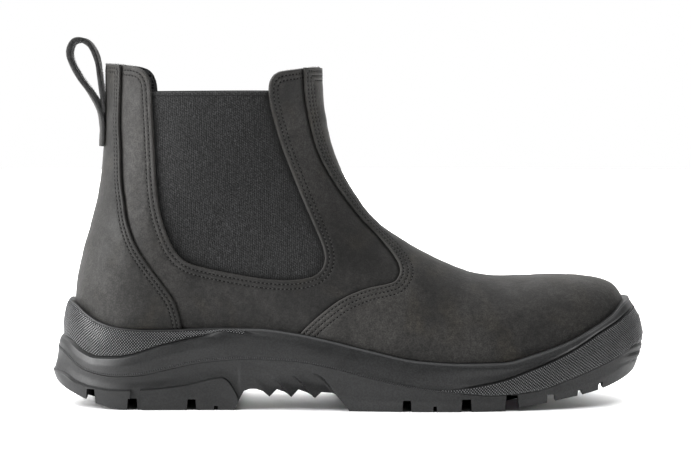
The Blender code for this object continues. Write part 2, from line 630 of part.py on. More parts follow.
def sole_body(name, lines, collection, finish=None):
    """A closed body from lines that run round it, bridged side to side over its first and last line."""
    count = len(lines[0])
    points = np.vstack(lines)
    faces = []
    for k in range(len(lines) - 1):
        for i in range(count):
            j = (i + 1) % count
            faces += halved(k * count + i, k * count + j, (k + 1) * count + j, (k + 1) * count + i)
    for first in (0, (len(lines) - 1) * count):
        for i in range(count // 2):
            a, b = i, i + 1
            c, d = (count - b) % count, (count - a) % count
            faces += halved(first + a, first + b, first + c, first + d)
    return add_object(name, new_mesh(name, points, faces), collection, finish)


def midsole_lines(base, rim_rise=0.0, rim_spread=0.0):
    """The midsole's side from its rim down to the parting line, then the joint's lines inwards."""
    _, _, stations = base
    step = smooth_curve(STEP_SHARE)(stations) * STEP_DEPTH
    half = BAND_HALF * WALL_HEIGHT
    rim = sole_line(base, RIM_LINE, RIM_SPREAD, extra=rim_spread, raise_by=rim_rise)
    lip = sole_line(base, RIM_LINE, LIP_SPREAD, extra=rim_spread, raise_by=rim_rise - LIP_DROP * WALL_HEIGHT)
    over = sole_line(base, STEP_LINE, STEP_SPREAD, extra=-step / 2, raise_by=half)
    band = sole_line(base, RIM_LINE, BAND_SPREAD, extra=-step / 3)
    under = sole_line(base, STEP_LINE, STEP_SPREAD, extra=step / 2, raise_by=-half)
    wall = sole_line(base, STEP_LINE, WALL_SPREAD, extra=step / 4)
    parting = sole_line(base, PARTING_LINE, PARTING_SPREAD, raise_by=GAP / 2)
    wall[:, 2] = (under[:, 2] + parting[:, 2]) / 2
    low_enough = parting[:, 2] + 0.2 * half
    under[:, 2] = np.maximum(under[:, 2], low_enough + 0.4 * half)
    over[:, 2] = np.minimum(np.maximum(over[:, 2], under[:, 2] + half), rim[:, 2] - 1.2 * half)
    under[:, 2] = np.minimum(under[:, 2], over[:, 2] - 0.8 * half)
    lip[:, 2] = np.maximum(lip[:, 2], over[:, 2] + 0.5 * half)
    band[:, 2] = (lip[:, 2] + over[:, 2]) / 2
    wall[:, 2] = np.clip(wall[:, 2], low_enough, under[:, 2] - 0.1 * half)
    return [rim, lip, band, over, under, wall] + joint_lines(base, 1)


def outsole_lines(base):
    """The outsole's side from the edge of the tread up, then the joint's lines inwards."""
    _, _, stations = base
    step = smooth_curve(LUG_SHARE)(stations) * LUG_STEP
    half = BAND_HALF * WALL_HEIGHT
    parting = sole_line(base, PARTING_LINE, PARTING_SPREAD, raise_by=-GAP / 2)
    over = sole_line(base, LUG_LINE, LUG_SPREAD, raise_by=half)
    under = sole_line(base, LUG_LINE, LUG_SPREAD, extra=step, raise_by=-half)
    tread = sole_line(base, TREAD_LINE, TREAD_SPREAD, extra=step)
    over[:, 2] = np.minimum(over[:, 2], parting[:, 2] - half)
    under[:, 2] = np.clip(under[:, 2], tread[:, 2] + half, over[:, 2] - half)
    return [tread, under, over] + joint_lines(base, -1)


def tread_height(x):
    return float(smooth_curve(TREAD_LINE)(x / LAST_LENGTH)) * WALL_HEIGHT


def groove(name, points, width, depth, collection):
    """A groove of the tread along points (x, y), cut to depth above the tread's own height there."""
    below = 2 * GROOVE_DEPTH
    flat = np.array(points)
    along = np.gradient(flat, axis=0)
    along /= np.linalg.norm(along, axis=1, keepdims=True)
    side = np.stack([-along[:, 1], along[:, 0]], axis=1) * width / 2
    shape = []
    for (x, y), (sx, sy) in zip(flat, side):
        foot = tread_height(x)
        shape += [
            (x + 1.15 * sx, y + 1.15 * sy, foot - below),
            (x - 1.15 * sx, y - 1.15 * sy, foot - below),
            (x - 0.75 * sx, y - 0.75 * sy, foot + depth),
            (x + 0.75 * sx, y + 0.75 * sy, foot + depth),
        ]
    faces = [(0, 1, 2, 3), tuple(range(len(shape) - 4, len(shape)))]
    for i in range(len(flat) - 1):
        a = 4 * i
        for k in range(4):
            n = (k + 1) % 4
            faces.append((a + k, a + n, a + 4 + n, a + 4 + k))
    return add_object(name, new_mesh(name, shape, faces), collection)


def add_tread(base, collection):
    """The cutters of the tread: side notches, two long channels and the middle row's cross grooves."""
    outside = 0.75 * BALL_WIDTH
    edge_x, edge_half = bottom_edge()
    channel_y = CHANNEL_Y * BALL_WIDTH
    for side, word in ((-1, "lateral"), (1, "medial")):
        for n, (middle, width, height, reach, sweep) in enumerate(NOTCHES):
            x = middle * LAST_LENGTH
            centre = float(swing_share(middle)) * BALL_WIDTH
            edge = float(np.interp(x, edge_x, edge_half))
            inner = max(edge - reach * BALL_WIDTH, (0.75 if middle < 0.4 else 1.0) * channel_y)
            turn = sweep * (outside - inner) * 0.4
            route = [(x, centre + side * outside), (x, centre + side * edge), (x - turn, centre + side * inner)]
            if reach < 0:
                del route[1]
            groove(f"notch_{word}_{n}", route, width * LAST_LENGTH, height * HEEL_SEAT, collection)
        for n, (start, end) in enumerate(CHANNEL_ENDS):
            shares = np.linspace(start, end, 7)
            route = [
                (s * LAST_LENGTH, float(swing_share(s)) * BALL_WIDTH + side * channel_y * (0.75 if n == 0 else 1.0))
                for s in shares
            ]
            groove(f"channel_{word}_{n}", route, CHANNEL_WIDTH, GROOVE_DEPTH * 0.92, collection)
    for n, share in enumerate(MIDDLE_GROOVES):
        centre = float(swing_share(share)) * BALL_WIDTH
        x = share * LAST_LENGTH
        bend = 0.25 * channel_y
        route = [(x - bend, centre - channel_y), (x, centre), (x - bend, centre + channel_y)]
        groove(f"middle_groove_{n}", route, CHANNEL_WIDTH, GROOVE_DEPTH * 0.84, collection)


def add_flutes(base, collection):
    """Tapered cutters that scoop the flutes out of the sole's side between the arch's ribs."""
    edge_x, edge_half = bottom_edge()
    out = spread_curve(PARTING_SPREAD)
    for side, word in ((-1, "lateral"), (1, "medial")):
        for n, (foot_x, foot_z, head_x, head_z, foot_r, head_r) in enumerate(FLUTES):
            ends = []
            for share, rise, radius in ((foot_x, foot_z, foot_r), (head_x, head_z, head_r)):
                x = share * LAST_LENGTH
                wall = float(np.interp(x, edge_x, edge_half)) + float(out(share)) * SOLE_SPREAD
                reach = wall + (radius - FLUTE_DEPTH * radius / foot_r) * HEEL_SEAT
                middle = float(swing_share(share)) * BALL_WIDTH
                ends.append(Vector((x, middle + side * reach, rise * HEEL_SEAT)))
            axis = ends[1] - ends[0]
            shape = bmesh.new()
            bmesh.ops.create_cone(
                shape, cap_ends=True, segments=12, radius1=foot_r * HEEL_SEAT, radius2=head_r * HEEL_SEAT,
                depth=axis.length,
            )
            mesh = bpy.data.meshes.new(f"flute_{word}_{n}")
            shape.to_mesh(mesh)
            shape.free()
            made = add_object(mesh.name, mesh, collection)
            made.rotation_mode = "QUATERNION"
            made.rotation_quaternion = axis.to_track_quat("Z", "Y")
            made.location = (ends[0] + ends[1]) / 2


def insole_slab(base, collection):
    """A slab that follows the seat, wider than the boot, from which the insole is taken."""
    shares = np.linspace(-0.03, 1.05, 24)
    points, faces = [], []
    for share in shares:
        low = float(seat_height(share))
        for y in (-BALL_WIDTH, BALL_WIDTH):
            points += [(share * LAST_LENGTH, y, low), (share * LAST_LENGTH, y, low + INSOLE_THICKNESS)]
    for i in range(len(shares) - 1):
        a, b = 4 * i, 4 * i + 4
        faces += [(a, b, b + 2, a + 2), (a + 1, a + 3, b + 3, b + 1), (a, a + 1, b + 1, b), (a + 2, b + 2, b + 3, a + 3)]
    faces += [(0, 2, 3, 1), (len(points) - 4, len(points) - 3, len(points) - 1, len(points) - 2)]
    return add_object("insole_slab", new_mesh("insole_slab", points, faces), collection)


def loop_mesh():
    """The pull loop: a strap bent round in a loop, hollowed across its width to lie on the round back."""
    line = through(LOOP_LINE, LOOP_POINTS) * COLLAR_HEIGHT
    back = np.array([float(back_share(min(float(level_of(z)), 2.0))) for _, z in line]) * LAST_LENGTH
    middle = np.column_stack([back - line[:, 0], line[:, 1]])
    along = np.gradient(middle, axis=0)
    along /= np.linalg.norm(along, axis=1, keepdims=True)
    side = np.stack([-along[:, 1], along[:, 0]], axis=1) * LOOP_THICKNESS / 2
    points = []
    for y in np.linspace(-LOOP_WIDTH / 2, LOOP_WIDTH / 2, LOOP_SLICES):
        for (x, z), (sx, sz) in zip(middle, side):
            held = 1 - ramp(z, 0.86 * COLLAR_HEIGHT, 1.04 * COLLAR_HEIGHT)
            round_back = LAST_LENGTH * BACK_ROUND[1] * (1 - math.sqrt(1 - (2 * y / COLLAR_WIDTH) ** 2))
            shift = round_back * (0.25 + 0.75 * held)
            points += [(x + shift + sx, y, z + sz), (x + shift - sx, y, z - sz)]
    ring = 2 * LOOP_POINTS
    faces = []
    for k in range(LOOP_SLICES - 1):
        a = k * ring
        for i in range(LOOP_POINTS - 1):
            b = a + 2 * i
            faces += [(b, b + 2, b + 2 + ring, b + ring), (b + 1, b + 1 + ring, b + 3 + ring, b + 3)]
        faces += [(a, a + ring, a + ring + 1, a + 1)]
        end = a + ring - 2
        faces += [(end, end + 1, end + 1 + ring, end + ring)]
    for a in (0, (LOOP_SLICES - 1) * ring):
        for i in range(LOOP_POINTS - 1):
            b = a + 2 * i
            faces.append((b, b + 1, b + 3, b + 2))
    return new_mesh("pull_loop", points, faces)


def fresh_collection(name):
    found = bpy.data.collections.new(name)
    bpy.context.scene.collection.children.link(found)
    return found


def clear_scene():
    for found in list(bpy.data.objects):
        bpy.data.objects.remove(found, do_unlink=True)


def centre_on_floor(parts, cutters, sole):
    """Moves everything so that the origin lies under the middle of the sole's outline."""
    bpy.context.view_layer.update()
    corners = [Vector(c) for c in sole.bound_box]
    shift = Vector(
        [-(min(c[k] for c in corners) + max(c[k] for c in corners)) / 2 for k in (0, 1)] + [0.0]
    )
    for collection in (parts, *cutters):
        for found in collection.objects:
            found.location = found.location + shift


def main():
    clear_scene()
    parts = fresh_collection("side_gore_work_boot")
    cutters = fresh_collection("cutters")
    tread_cutters = fresh_collection("tread_cutters")
    forms = make_forms()
    base = sole_ring_base()
    beyond = BALL_WIDTH

    leather_face = -(OVERLAY + GAP)
    inner_face = leather_face - LEATHER
    upper = skin("upper", forms, leather_face, LEATHER, parts, "leather")
    vamp = skin("vamp", forms, 0.0, OVERLAY, parts, "leather_overlay")
    strip = skin("back_strip", forms, 0.0, OVERLAY, parts, "leather_overlay")

    gore_outline = upper_outline(GORE_EDGE)
    first, last = GORE_EDGE_SIDES
    top = float(height_at(GORE_TOP_LEVEL))
    elastic = grown(gore_outline[first : last + 1], -GORE_OVERLAP)
    elastic = [(float(x), float(z)) for x, z in elastic if z < top - 0.1 * GORE_OVERLAP]
    elastic = [(elastic[0][0], top)] + elastic + [(elastic[-1][0], top)]
    for side, word in ((-1, "lateral"), (1, "medial")):
        low, high = sorted((side * 0.08 * BALL_WIDTH, side * beyond))
        boolean(upper, side_prism(f"gore_opening_{word}", gore_outline, low, high, cutters), "DIFFERENCE")
        gore = skin(f"gore_{word}", forms, inner_face - GAP, ELASTIC, parts, "elastic")
        boolean(gore, side_prism(f"gore_shape_{word}", elastic, low, high, cutters), "INTERSECT")

    rear = -0.2 * LAST_LENGTH
    vamp_outline = upper_outline(VAMP_EDGE) + upper_outline(VAMP_FRONT)
    boolean(vamp, side_prism("vamp_shape", vamp_outline, -beyond, beyond, cutters), "INTERSECT")
    strip_outline = upper_outline(STRIP_EDGE)
    strip_outline += [(rear, strip_outline[-1][1]), (rear, strip_outline[0][1])]
    boolean(strip, side_prism("strip_shape", strip_outline, -beyond, beyond, cutters), "INTERSECT")
    clearance = sole_body("rim_clearance", midsole_lines(base, rim_rise=GAP, rim_spread=GAP), cutters)
    boolean(vamp, clearance, "DIFFERENCE")
    boolean(strip, clearance, "DIFFERENCE")

    midsole = sole_body("midsole", midsole_lines(base), parts, "midsole_rubber")
    boolean(midsole, closed_form("foot_hollow", forms, leather_face + GAP, GAP, cutters), "DIFFERENCE")

    outsole = sole_body("outsole", outsole_lines(base), parts, "outsole_rubber")
    arch = [(share * LAST_LENGTH, rise * HEEL_SEAT) for share, rise in ARCH]
    side_prism("arch_hollow", arch, -beyond, beyond, tread_cutters)
    add_flutes(base, tread_cutters)
    add_tread(base, tread_cutters)
    boolean_all(outsole, tread_cutters, "DIFFERENCE")

    insole = closed_form("insole", forms, inner_face - GAP, 0.0, parts)
    insole.hide_render = False
    insole.display_type = "TEXTURED"
    insole.data.materials.append(material("insole_board"))
    boolean(insole, insole_slab(base, cutters), "INTERSECT")

    add_object("pull_loop", loop_mesh(), parts, "strap")
    centre_on_floor(parts, (cutters, tread_cutters), outsole)


main()
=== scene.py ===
"""Looks of the side gore work boot: fine leather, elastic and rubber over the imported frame, with seams,
knurled bands, light and camera."""

import json
import math

import bmesh
import bpy
import numpy as np
from mathutils import Matrix, Vector
from mathutils.kdtree import KDTree

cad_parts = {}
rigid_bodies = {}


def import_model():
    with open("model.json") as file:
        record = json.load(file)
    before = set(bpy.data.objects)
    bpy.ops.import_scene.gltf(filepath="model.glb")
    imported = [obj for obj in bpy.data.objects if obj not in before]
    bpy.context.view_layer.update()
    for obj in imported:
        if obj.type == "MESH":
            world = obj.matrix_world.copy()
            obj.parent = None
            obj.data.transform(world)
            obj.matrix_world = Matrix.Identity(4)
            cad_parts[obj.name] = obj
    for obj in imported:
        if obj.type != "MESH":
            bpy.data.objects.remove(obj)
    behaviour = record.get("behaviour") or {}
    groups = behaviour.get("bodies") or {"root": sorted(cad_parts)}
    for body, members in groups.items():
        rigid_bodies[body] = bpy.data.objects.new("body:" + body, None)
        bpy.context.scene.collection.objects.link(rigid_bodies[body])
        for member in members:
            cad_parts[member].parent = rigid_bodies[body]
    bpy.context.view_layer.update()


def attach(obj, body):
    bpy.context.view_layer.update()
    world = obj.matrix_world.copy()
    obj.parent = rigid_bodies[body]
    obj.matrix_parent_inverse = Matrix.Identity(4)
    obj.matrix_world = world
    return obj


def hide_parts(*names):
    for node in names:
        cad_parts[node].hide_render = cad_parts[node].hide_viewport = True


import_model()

# Driving sizes of the last and the shaft
LAST_LENGTH = 0.2805  # from heel to toe along the upper's bottom edge
BALL_WIDTH = 0.098  # across the upper's bottom edge at the ball
HEEL_WIDTH = 0.070  # across the upper's bottom edge at the heel
ANKLE_WIDTH = 0.067
COLLAR_WIDTH = 0.078
TOE_HEIGHT = 0.0642  # top of the toe box above the floor
COLLAR_HEIGHT = 0.1722

# Driving sizes of the sole
HEEL_SEAT = 0.0285  # height of the insole's underside at the heel
BALL_SEAT = 0.0160
TOE_SEAT = 0.0225
WALL_HEIGHT = 0.0515  # top of the sole's wall at heel and toe
SOLE_SPREAD = 0.0100  # how far the sole stands out beyond the upper's bottom edge at the heel's side
STEP_DEPTH = 0.0014  # step of the side bands
LUG_STEP = 0.0013  # how far the heel's side blocks stand out
GROOVE_DEPTH = 0.0048  # depth of the tread
CHANNEL_WIDTH = 0.0042
INSOLE_THICKNESS = 0.0040

# Driving sizes of the upper's layers
LEATHER = 0.0020  # wall of the upper
OVERLAY = 0.0013  # vamp and back strip
ELASTIC = 0.0018
GORE_OVERLAP = 0.0070  # how far the elastic reaches behind the leather
GAP = 0.0003  # between pieces that meet

# Driving sizes of the pull loop
LOOP_WIDTH = 0.0190
LOOP_THICKNESS = 0.0018

# How finely the curved forms are cut into faces
SECTION_ROWS = 130
SECTION_HALF_COLUMNS = 48
SOLE_STATIONS = 120

# The last's sections, from the toe tip round to the rear of the heel's bottom edge.
# base and top: share of LAST_LENGTH; heel and ball: shares of those half widths at the base;
# level: height of the section's top (see height_at); shoulder: where its top starts to round over;
# power: squareness of that rounding; shaft: how far the shaft's own widths take over higher up.
SECTIONS = (
    # base,  heel, ball,  top,   level, shoulder, power, shaft
    (1.000, 0.00, 0.000, 1.001, 0.38, 0.00, 2.50, 0.00),
    (0.995, 0.00, 0.230, 1.0125, 0.60, 0.00, 2.50, 0.00),
    (0.981, 0.00, 0.440, 1.0085, 0.795, 0.00, 2.50, 0.00),
    (0.953, 0.00, 0.635, 0.9885, 0.922, 0.00, 2.50, 0.00),
    (0.906, 0.00, 0.815, 0.945, 0.983, 0.00, 2.45, 0.00),
    (0.841, 0.00, 0.935, 0.868, 1.000, 0.00, 2.40, 0.00),
    (0.766, 0.00, 0.990, 0.793, 0.990, 0.00, 2.35, 0.00),
    (0.684, 0.00, 1.000, 0.731, 1.010, 0.00, 2.30, 0.00),
    (0.599, 0.00, 0.960, 0.663, 1.078, 0.00, 2.15, 0.06),
    (0.506, 0.00, 0.885, 0.600, 1.168, 0.06, 2.15, 0.25),
    (0.399, 0.30, 0.590, 0.547, 1.267, 0.18, 2.25, 0.50),
    (0.285, 0.62, 0.300, 0.5105, 1.387, 0.32, 2.30, 0.75),
    (0.171, 0.86, 0.100, 0.4845, 1.507, 0.42, 2.30, 0.92),
    (0.086, 0.98, 0.010, 0.4685, 1.613, 0.46, 2.20, 1.00),
    (0.029, 1.00, 0.000, 0.4605, 1.695, 0.47, 2.10, 1.00),
    (0.000, 1.00, 0.000, 0.4565, 1.760, 0.48, 2.00, 1.00),
)
# Above the heel's bottom edge a section runs from the back line to the front line.
# back: share of LAST_LENGTH; back_level and level: heights of its two ends.
SHAFT_SECTIONS = (
    # back, back_level, top, level, shoulder
    (-0.0062, 0.66, 0.4527, 1.810, 0.48),
    (-0.0045, 0.92, 0.4513, 1.860, 0.48),
    (0.0066, 1.110, 0.4506, 1.902, 0.48),
    (0.0238, 1.260, 0.4503, 1.935, 0.48),
    (0.0388, 1.425, 0.4502, 1.957, 0.48),
    (0.0476, 1.620, 0.4502, 1.972, 0.48),
    (0.0505, 1.815, 0.4502, 1.984, 0.49),
    (0.0520, 2.008, 0.4502, 1.992, 0.50),
)
BACK_ROUND = (0.135, 0.195)  # length of the rounding at the back, low and at the collar
SHAFT_BLEND = (0.50, 1.20)  # levels between which the shaft's widths take over from the foot's
ANKLE_LEVEL = 1.25

# The foot's bend seen from above: share of LAST_LENGTH, shift to the medial side as share of BALL_WIDTH
SWING = ((0.0, 0.0), (0.25, -0.006), (0.48, -0.030), (0.70, -0.004), (0.86, 0.040), (1.0, 0.078))
FRONT_SQUARENESS = 2.2
SWING_ENDS_AT = 1.6  # level above which the shaft stands straight

# Height of the insole's underside: share of LAST_LENGTH, and shares of the three seats
SEAT = (
    # station, heel, ball, toe
    (0.00, 1.00, 0.00, 0.0),
    (0.22, 0.97, 0.00, 0.0),
    (0.45, 0.55, 0.50, 0.0),
    (0.70, 0.00, 1.00, 0.0),
    (0.85, 0.00, 0.75, 0.25),
    (1.00, 0.00, 0.00, 1.0),
)

# The sole's lines seen from the side: share of LAST_LENGTH, share of WALL_HEIGHT
RIM_LINE = (
    (0.0, 1.020), (0.014, 0.982), (0.031, 0.904), (0.055, 0.827), (0.085, 0.783), (0.13, 0.765), (0.17, 0.767),
    (0.26, 0.784), (0.33, 0.784), (0.40, 0.742), (0.46, 0.676), (0.535, 0.578), (0.62, 0.482), (0.70, 0.456),
    (0.77, 0.460), (0.82, 0.524), (0.885, 0.640), (0.93, 0.763), (0.965, 0.880), (0.985, 0.980), (1.0, 1.016),
)
STEP_LINE = (
    (0.0, 0.665), (0.014, 0.631), (0.031, 0.553), (0.055, 0.501), (0.085, 0.507), (0.12, 0.550), (0.135, 0.582),
    (0.17, 0.638), (0.24, 0.719), (0.28, 0.764), (0.33, 0.720), (0.40, 0.640), (0.51, 0.440), (0.60, 0.273),
    (0.66, 0.208), (0.715, 0.252), (0.76, 0.300), (0.82, 0.414), (0.885, 0.570), (0.93, 0.723), (0.965, 0.830),
    (0.985, 0.905), (1.0, 0.946),
)
PARTING_LINE = (
    (0.0, 0.554), (0.014, 0.496), (0.031, 0.398), (0.055, 0.341), (0.085, 0.319), (0.12, 0.332), (0.165, 0.384),
    (0.24, 0.465), (0.32, 0.495), (0.40, 0.480), (0.46, 0.428), (0.535, 0.324), (0.615, 0.228), (0.70, 0.173),
    (0.75, 0.152), (0.82, 0.186), (0.88, 0.294), (0.93, 0.408), (0.965, 0.505), (0.985, 0.595), (1.0, 0.660),
)
LUG_LINE = (
    (0.0, 0.335), (0.014, 0.318), (0.031, 0.253), (0.055, 0.212), (0.085, 0.192), (0.10, 0.194), (0.20, 0.242),
    (0.258, 0.313), (0.270, 0.320), (0.281, 0.289), (0.292, 0.205), (0.299, 0.130), (0.3035, 0.050), (0.33, 0.080),
    (0.46, 0.120), (0.60, 0.105), (0.75, 0.090), (0.86, 0.175), (0.93, 0.290), (0.98, 0.440), (1.0, 0.530),
)
TREAD_LINE = (
    (0.0, 0.225), (0.014, 0.170), (0.031, 0.120), (0.055, 0.062), (0.080, 0.022), (0.105, 0.0), (0.75, 0.0),
    (0.80, 0.038), (0.88, 0.114), (0.93, 0.172), (0.965, 0.240), (0.985, 0.295), (1.0, 0.350),
)

# How far each line of the sole's side stands out beyond the upper's bottom edge, as shares of SOLE_SPREAD
SPREAD_STATIONS = (0.0, 0.02, 0.12, 0.45, 0.70, 0.90, 0.98, 1.0)
RIM_SPREAD = (0.44, 0.42, 0.37, 0.32, 0.35, 0.42, 0.52, 0.56)
LIP_SPREAD = (0.56, 0.54, 0.50, 0.47, 0.50, 0.58, 0.66, 0.67)
BAND_SPREAD = (0.74, 0.70, 0.66, 0.56, 0.57, 0.68, 0.73, 0.74)
STEP_SPREAD = (0.78, 0.74, 0.72, 0.62, 0.61, 0.74, 0.78, 0.79)
WALL_SPREAD = (0.92, 0.90, 0.87, 0.66, 0.63, 0.86, 1.04, 1.14)
PARTING_SPREAD = (1.00, 0.96, 0.90, 0.68, 0.65, 0.90, 1.18, 1.31)
LUG_SPREAD = (1.20, 1.09, 0.93, 0.66, 0.66, 0.88, 1.17, 1.27)
TREAD_SPREAD = (0.94, 0.92, 0.88, 0.56, 0.62, 0.80, 0.90, 0.92)
STEP_SHARE = ((0.0, 1.0), (0.24, 1.0), (0.31, 0.0), (0.62, 0.0), (0.74, 1.0), (1.0, 1.0))
LUG_SHARE = ((0.0, 1.0), (0.298, 1.0), (0.305, 0.0), (1.0, 0.0))
BAND_HALF = 0.010  # half the height of a step, as share of WALL_HEIGHT
LIP_DROP = 0.045  # height of the rim's rounded lip, as share of WALL_HEIGHT
# Between outsole and midsole the joint drops behind the wall: share of HEEL_WIDTH inwards, share of the drop
JOINT_RINGS = ((0.0, 0.0), (0.07, 0.55), (0.15, 1.0))
JOINT_DEPTH = 0.30  # least rubber above the joint, as share of the insole's height there
JOINT_FLOOR = 0.19  # the joint's least height above the tread, as share of HEEL_SEAT

# The hollow under the arch, with the points of its three ribs: share of LAST_LENGTH, share of HEEL_SEAT
ARCH = (
    (0.286, -0.20), (0.289, 0.00), (0.2955, 0.12), (0.301, 0.24), (0.307, 0.34), (0.318, 0.375), (0.330, 0.370),
    (0.341, 0.335), (0.3523, 0.240), (0.3658, 0.360), (0.3793, 0.314), (0.3918, 0.239), (0.4043, 0.362),
    (0.4203, 0.306), (0.4338, 0.228), (0.4453, 0.324), (0.4697, 0.302), (0.4815, 0.17), (0.4940, 0.01),
    (0.498, -0.20),
)
# Notches through the sole's side: middle, width and height as shares of LAST_LENGTH and of HEEL_SEAT,
# how far in they reach from the upper's edge as share of BALL_WIDTH, and their sweep towards the middle.
# The one with a negative reach only parts the heel's raised side blocks.
NOTCHES = (
    # middle, width, height, reach, sweep
    (0.0310, 0.0190, 0.13, 0.055, 0.10),
    (0.1070, 0.0210, 0.20, 0.21, 0.05),
    (0.1125, 0.0230, 0.40, -0.092, 0.0),
    (0.2130, 0.0190, 0.19, 0.21, 0.10),
    (0.2565, 0.0090, 0.07, 0.16, 0.10),
    (0.5970, 0.0185, 0.20, 0.26, -0.10),
    (0.6470, 0.0080, 0.10, 0.18, -0.10),
    (0.7030, 0.0210, 0.22, 0.29, -0.12),
    (0.7850, 0.0280, 0.24, 0.28, -0.14),
    (0.8560, 0.0180, 0.18, 0.26, -0.16),
    (0.9100, 0.0110, 0.10, 0.10, -0.18),
    (0.9500, 0.0110, 0.10, 0.07, -0.18),
)
# Cross grooves of the middle row of lugs, as shares of LAST_LENGTH
MIDDLE_GROOVES = (0.075, 0.160, 0.245, 0.555, 0.645, 0.740, 0.825, 0.885)
CHANNEL_Y = 0.155  # the two long channels' distance from the middle, as share of BALL_WIDTH
CHANNEL_ENDS = ((0.06, 0.31), (0.48, 0.915))

# Outlines on the upper seen from the side: share of LAST_LENGTH, level
GORE_EDGE = (
    (0.0732, 2.20), (0.0732, 2.005), (0.1022, 1.998), (0.1182, 1.984), (0.1282, 1.958), (0.1347, 1.910),
    (0.1377, 1.800), (0.1412, 1.640), (0.1452, 1.470), (0.1532, 1.325), (0.1662, 1.225), (0.1822, 1.140),
    (0.2032, 1.088), (0.2352, 1.060), (0.2832, 1.034), (0.3312, 1.013), (0.3832, 1.004), (0.4232, 1.017),
    (0.4432, 1.045), (0.4532, 1.095), (0.4512, 1.160), (0.4352, 1.265), (0.4112, 1.410), (0.3832, 1.595),
    (0.3672, 1.730), (0.3572, 1.840), (0.3567, 1.912), (0.3632, 1.948), (0.3752, 1.970), (0.4032, 1.981),
    (0.4302, 1.989), (0.4302, 2.20),
)
GORE_TOP_LEVEL = 1.878
VAMP_EDGE = (
    (0.4172, 2.20), (0.4177, 1.975), (0.4187, 1.900), (0.4227, 1.815), (0.4322, 1.690), (0.4502, 1.560),
    (0.4782, 1.437), (0.5172, 1.303), (0.5532, 1.204), (0.5792, 1.118), (0.5897, 1.060), (0.5857, 1.020),
    (0.5722, 0.985), (0.5242, 0.940), (0.4792, 0.855), (0.4442, 0.742), (0.4182, 0.640), (0.4032, 0.565),
    (0.3952, 0.480), (0.3952, 0.240),
)
VAMP_FRONT = ((1.2, 0.50), (1.2, 2.20))
STRIP_EDGE = (
    (0.0812, 2.20), (0.0812, 1.960), (0.0787, 1.765), (0.0802, 1.615), (0.0822, 1.465), (0.0872, 1.380),
    (0.0942, 1.270), (0.1102, 1.165), (0.1342, 1.070), (0.1622, 0.955), (0.1822, 0.820), (0.1942, 0.625),
    (0.1972, 0.480),
)

# The pull loop's middle line: distance behind the back line and height, both as shares of COLLAR_HEIGHT.
# Its outer leg comes first, its inner leg last.
LOOP_LINE = (
    # behind, height
    (0.0085, 0.7620), (0.0085, 0.7950), (0.0088, 0.8230), (0.0140, 0.8520), (0.0260, 0.8850), (0.0500, 0.9230),
    (0.0795, 0.9640), (0.1000, 1.0000), (0.1100, 1.0320), (0.1070, 1.0590), (0.0930, 1.0765), (0.0710, 1.0805),
    (0.0500, 1.0700), (0.0330, 1.0460), (0.0235, 1.0150), (0.0185, 0.9760), (0.0140, 0.9300), (0.0095, 0.8930),
    (0.0080, 0.8620),
)



def smooth_curve(points):
    """A function through the points (station, value, ...) that never overshoots them."""
    rows = np.array(points, float)
    x, y = rows[:, 0], rows[:, 1:]
    steps = np.diff(x)
    slopes = np.diff(y, axis=0) / steps[:, None]
    tangents = np.zeros_like(y)
    tangents[0], tangents[-1] = slopes[0], slopes[-1]
    same_way = slopes[:-1] * slopes[1:] > 0
    before, after = (2 * steps[1:] + steps[:-1])[:, None], (steps[1:] + 2 * steps[:-1])[:, None]
    with np.errstate(divide="ignore", invalid="ignore"):
        mean = (before + after) / (before / slopes[:-1] + after / slopes[1:])
    tangents[1:-1] = np.where(same_way, mean, 0.0)

    def at(station):
        s = np.clip(np.asarray(station, float), x[0], x[-1])
        i = np.clip(np.searchsorted(x, s, side="right") - 1, 0, len(x) - 2)
        h = steps[i]
        t = (s - x[i]) / h
        t, h = t[..., None], h[..., None]
        found = (
            (2 * t**3 - 3 * t**2 + 1) * y[i]
            + (t**3 - 2 * t**2 + t) * h * tangents[i]
            + (3 * t**2 - 2 * t**3) * y[i + 1]
            + (t**3 - t**2) * h * tangents[i + 1]
        )
        return found[..., 0] if y.shape[1] == 1 else found

    return at


def through(points, count):
    """count points, evenly spaced by row, on a Catmull-Rom curve through the rows."""
    p = np.array(points, float)
    p = np.vstack([2 * p[0] - p[1], p, 2 * p[-1] - p[-2]])
    found = []
    for s in np.linspace(0, len(points) - 1, count):
        i = min(int(s), len(points) - 2)
        t = s - i
        a, b, c, d = p[i : i + 4]
        found.append(0.5 * (2 * b + (c - a) * t + (2 * a - 5 * b + 4 * c - d) * t**2 + (3 * b - a - 3 * c + d) * t**3))
    return np.array(found)


def ramp(value, low, high):
    """0 below low, 1 above high, smooth between."""
    t = np.clip((value - low) / (high - low), 0.0, 1.0)
    return t * t * (3 - 2 * t)


def height_at(level):
    """Height of a level: 0 is the floor, 1 the toe box's top and 2 the collar."""
    level = np.asarray(level, float)
    above = TOE_HEIGHT + (level - 1) * (COLLAR_HEIGHT - TOE_HEIGHT)
    return np.where(level <= 1, level * TOE_HEIGHT, above)


def level_of(height):
    """The level of a height, the other way round."""
    height = np.asarray(height, float)
    above = 1 + (height - TOE_HEIGHT) / (COLLAR_HEIGHT - TOE_HEIGHT)
    return np.where(height <= TOE_HEIGHT, height / TOE_HEIGHT, above)


swing_share = smooth_curve(SWING)
seat_shares = smooth_curve(SEAT)
back_share = smooth_curve([(0.30, 0.0)] + [(row[1], row[0]) for row in SHAFT_SECTIONS])


def seat_height(station):
    """Height of the upper's bottom edge at a share of LAST_LENGTH."""
    return seat_shares(station) @ np.array([HEEL_SEAT, BALL_SEAT, TOE_SEAT])


def swing_at(x, z):
    """Sideways shift of the foot's middle line."""
    fade = 1 - ramp(level_of(z), 1.0, SWING_ENDS_AT)
    return swing_share(x / LAST_LENGTH) * BALL_WIDTH * fade


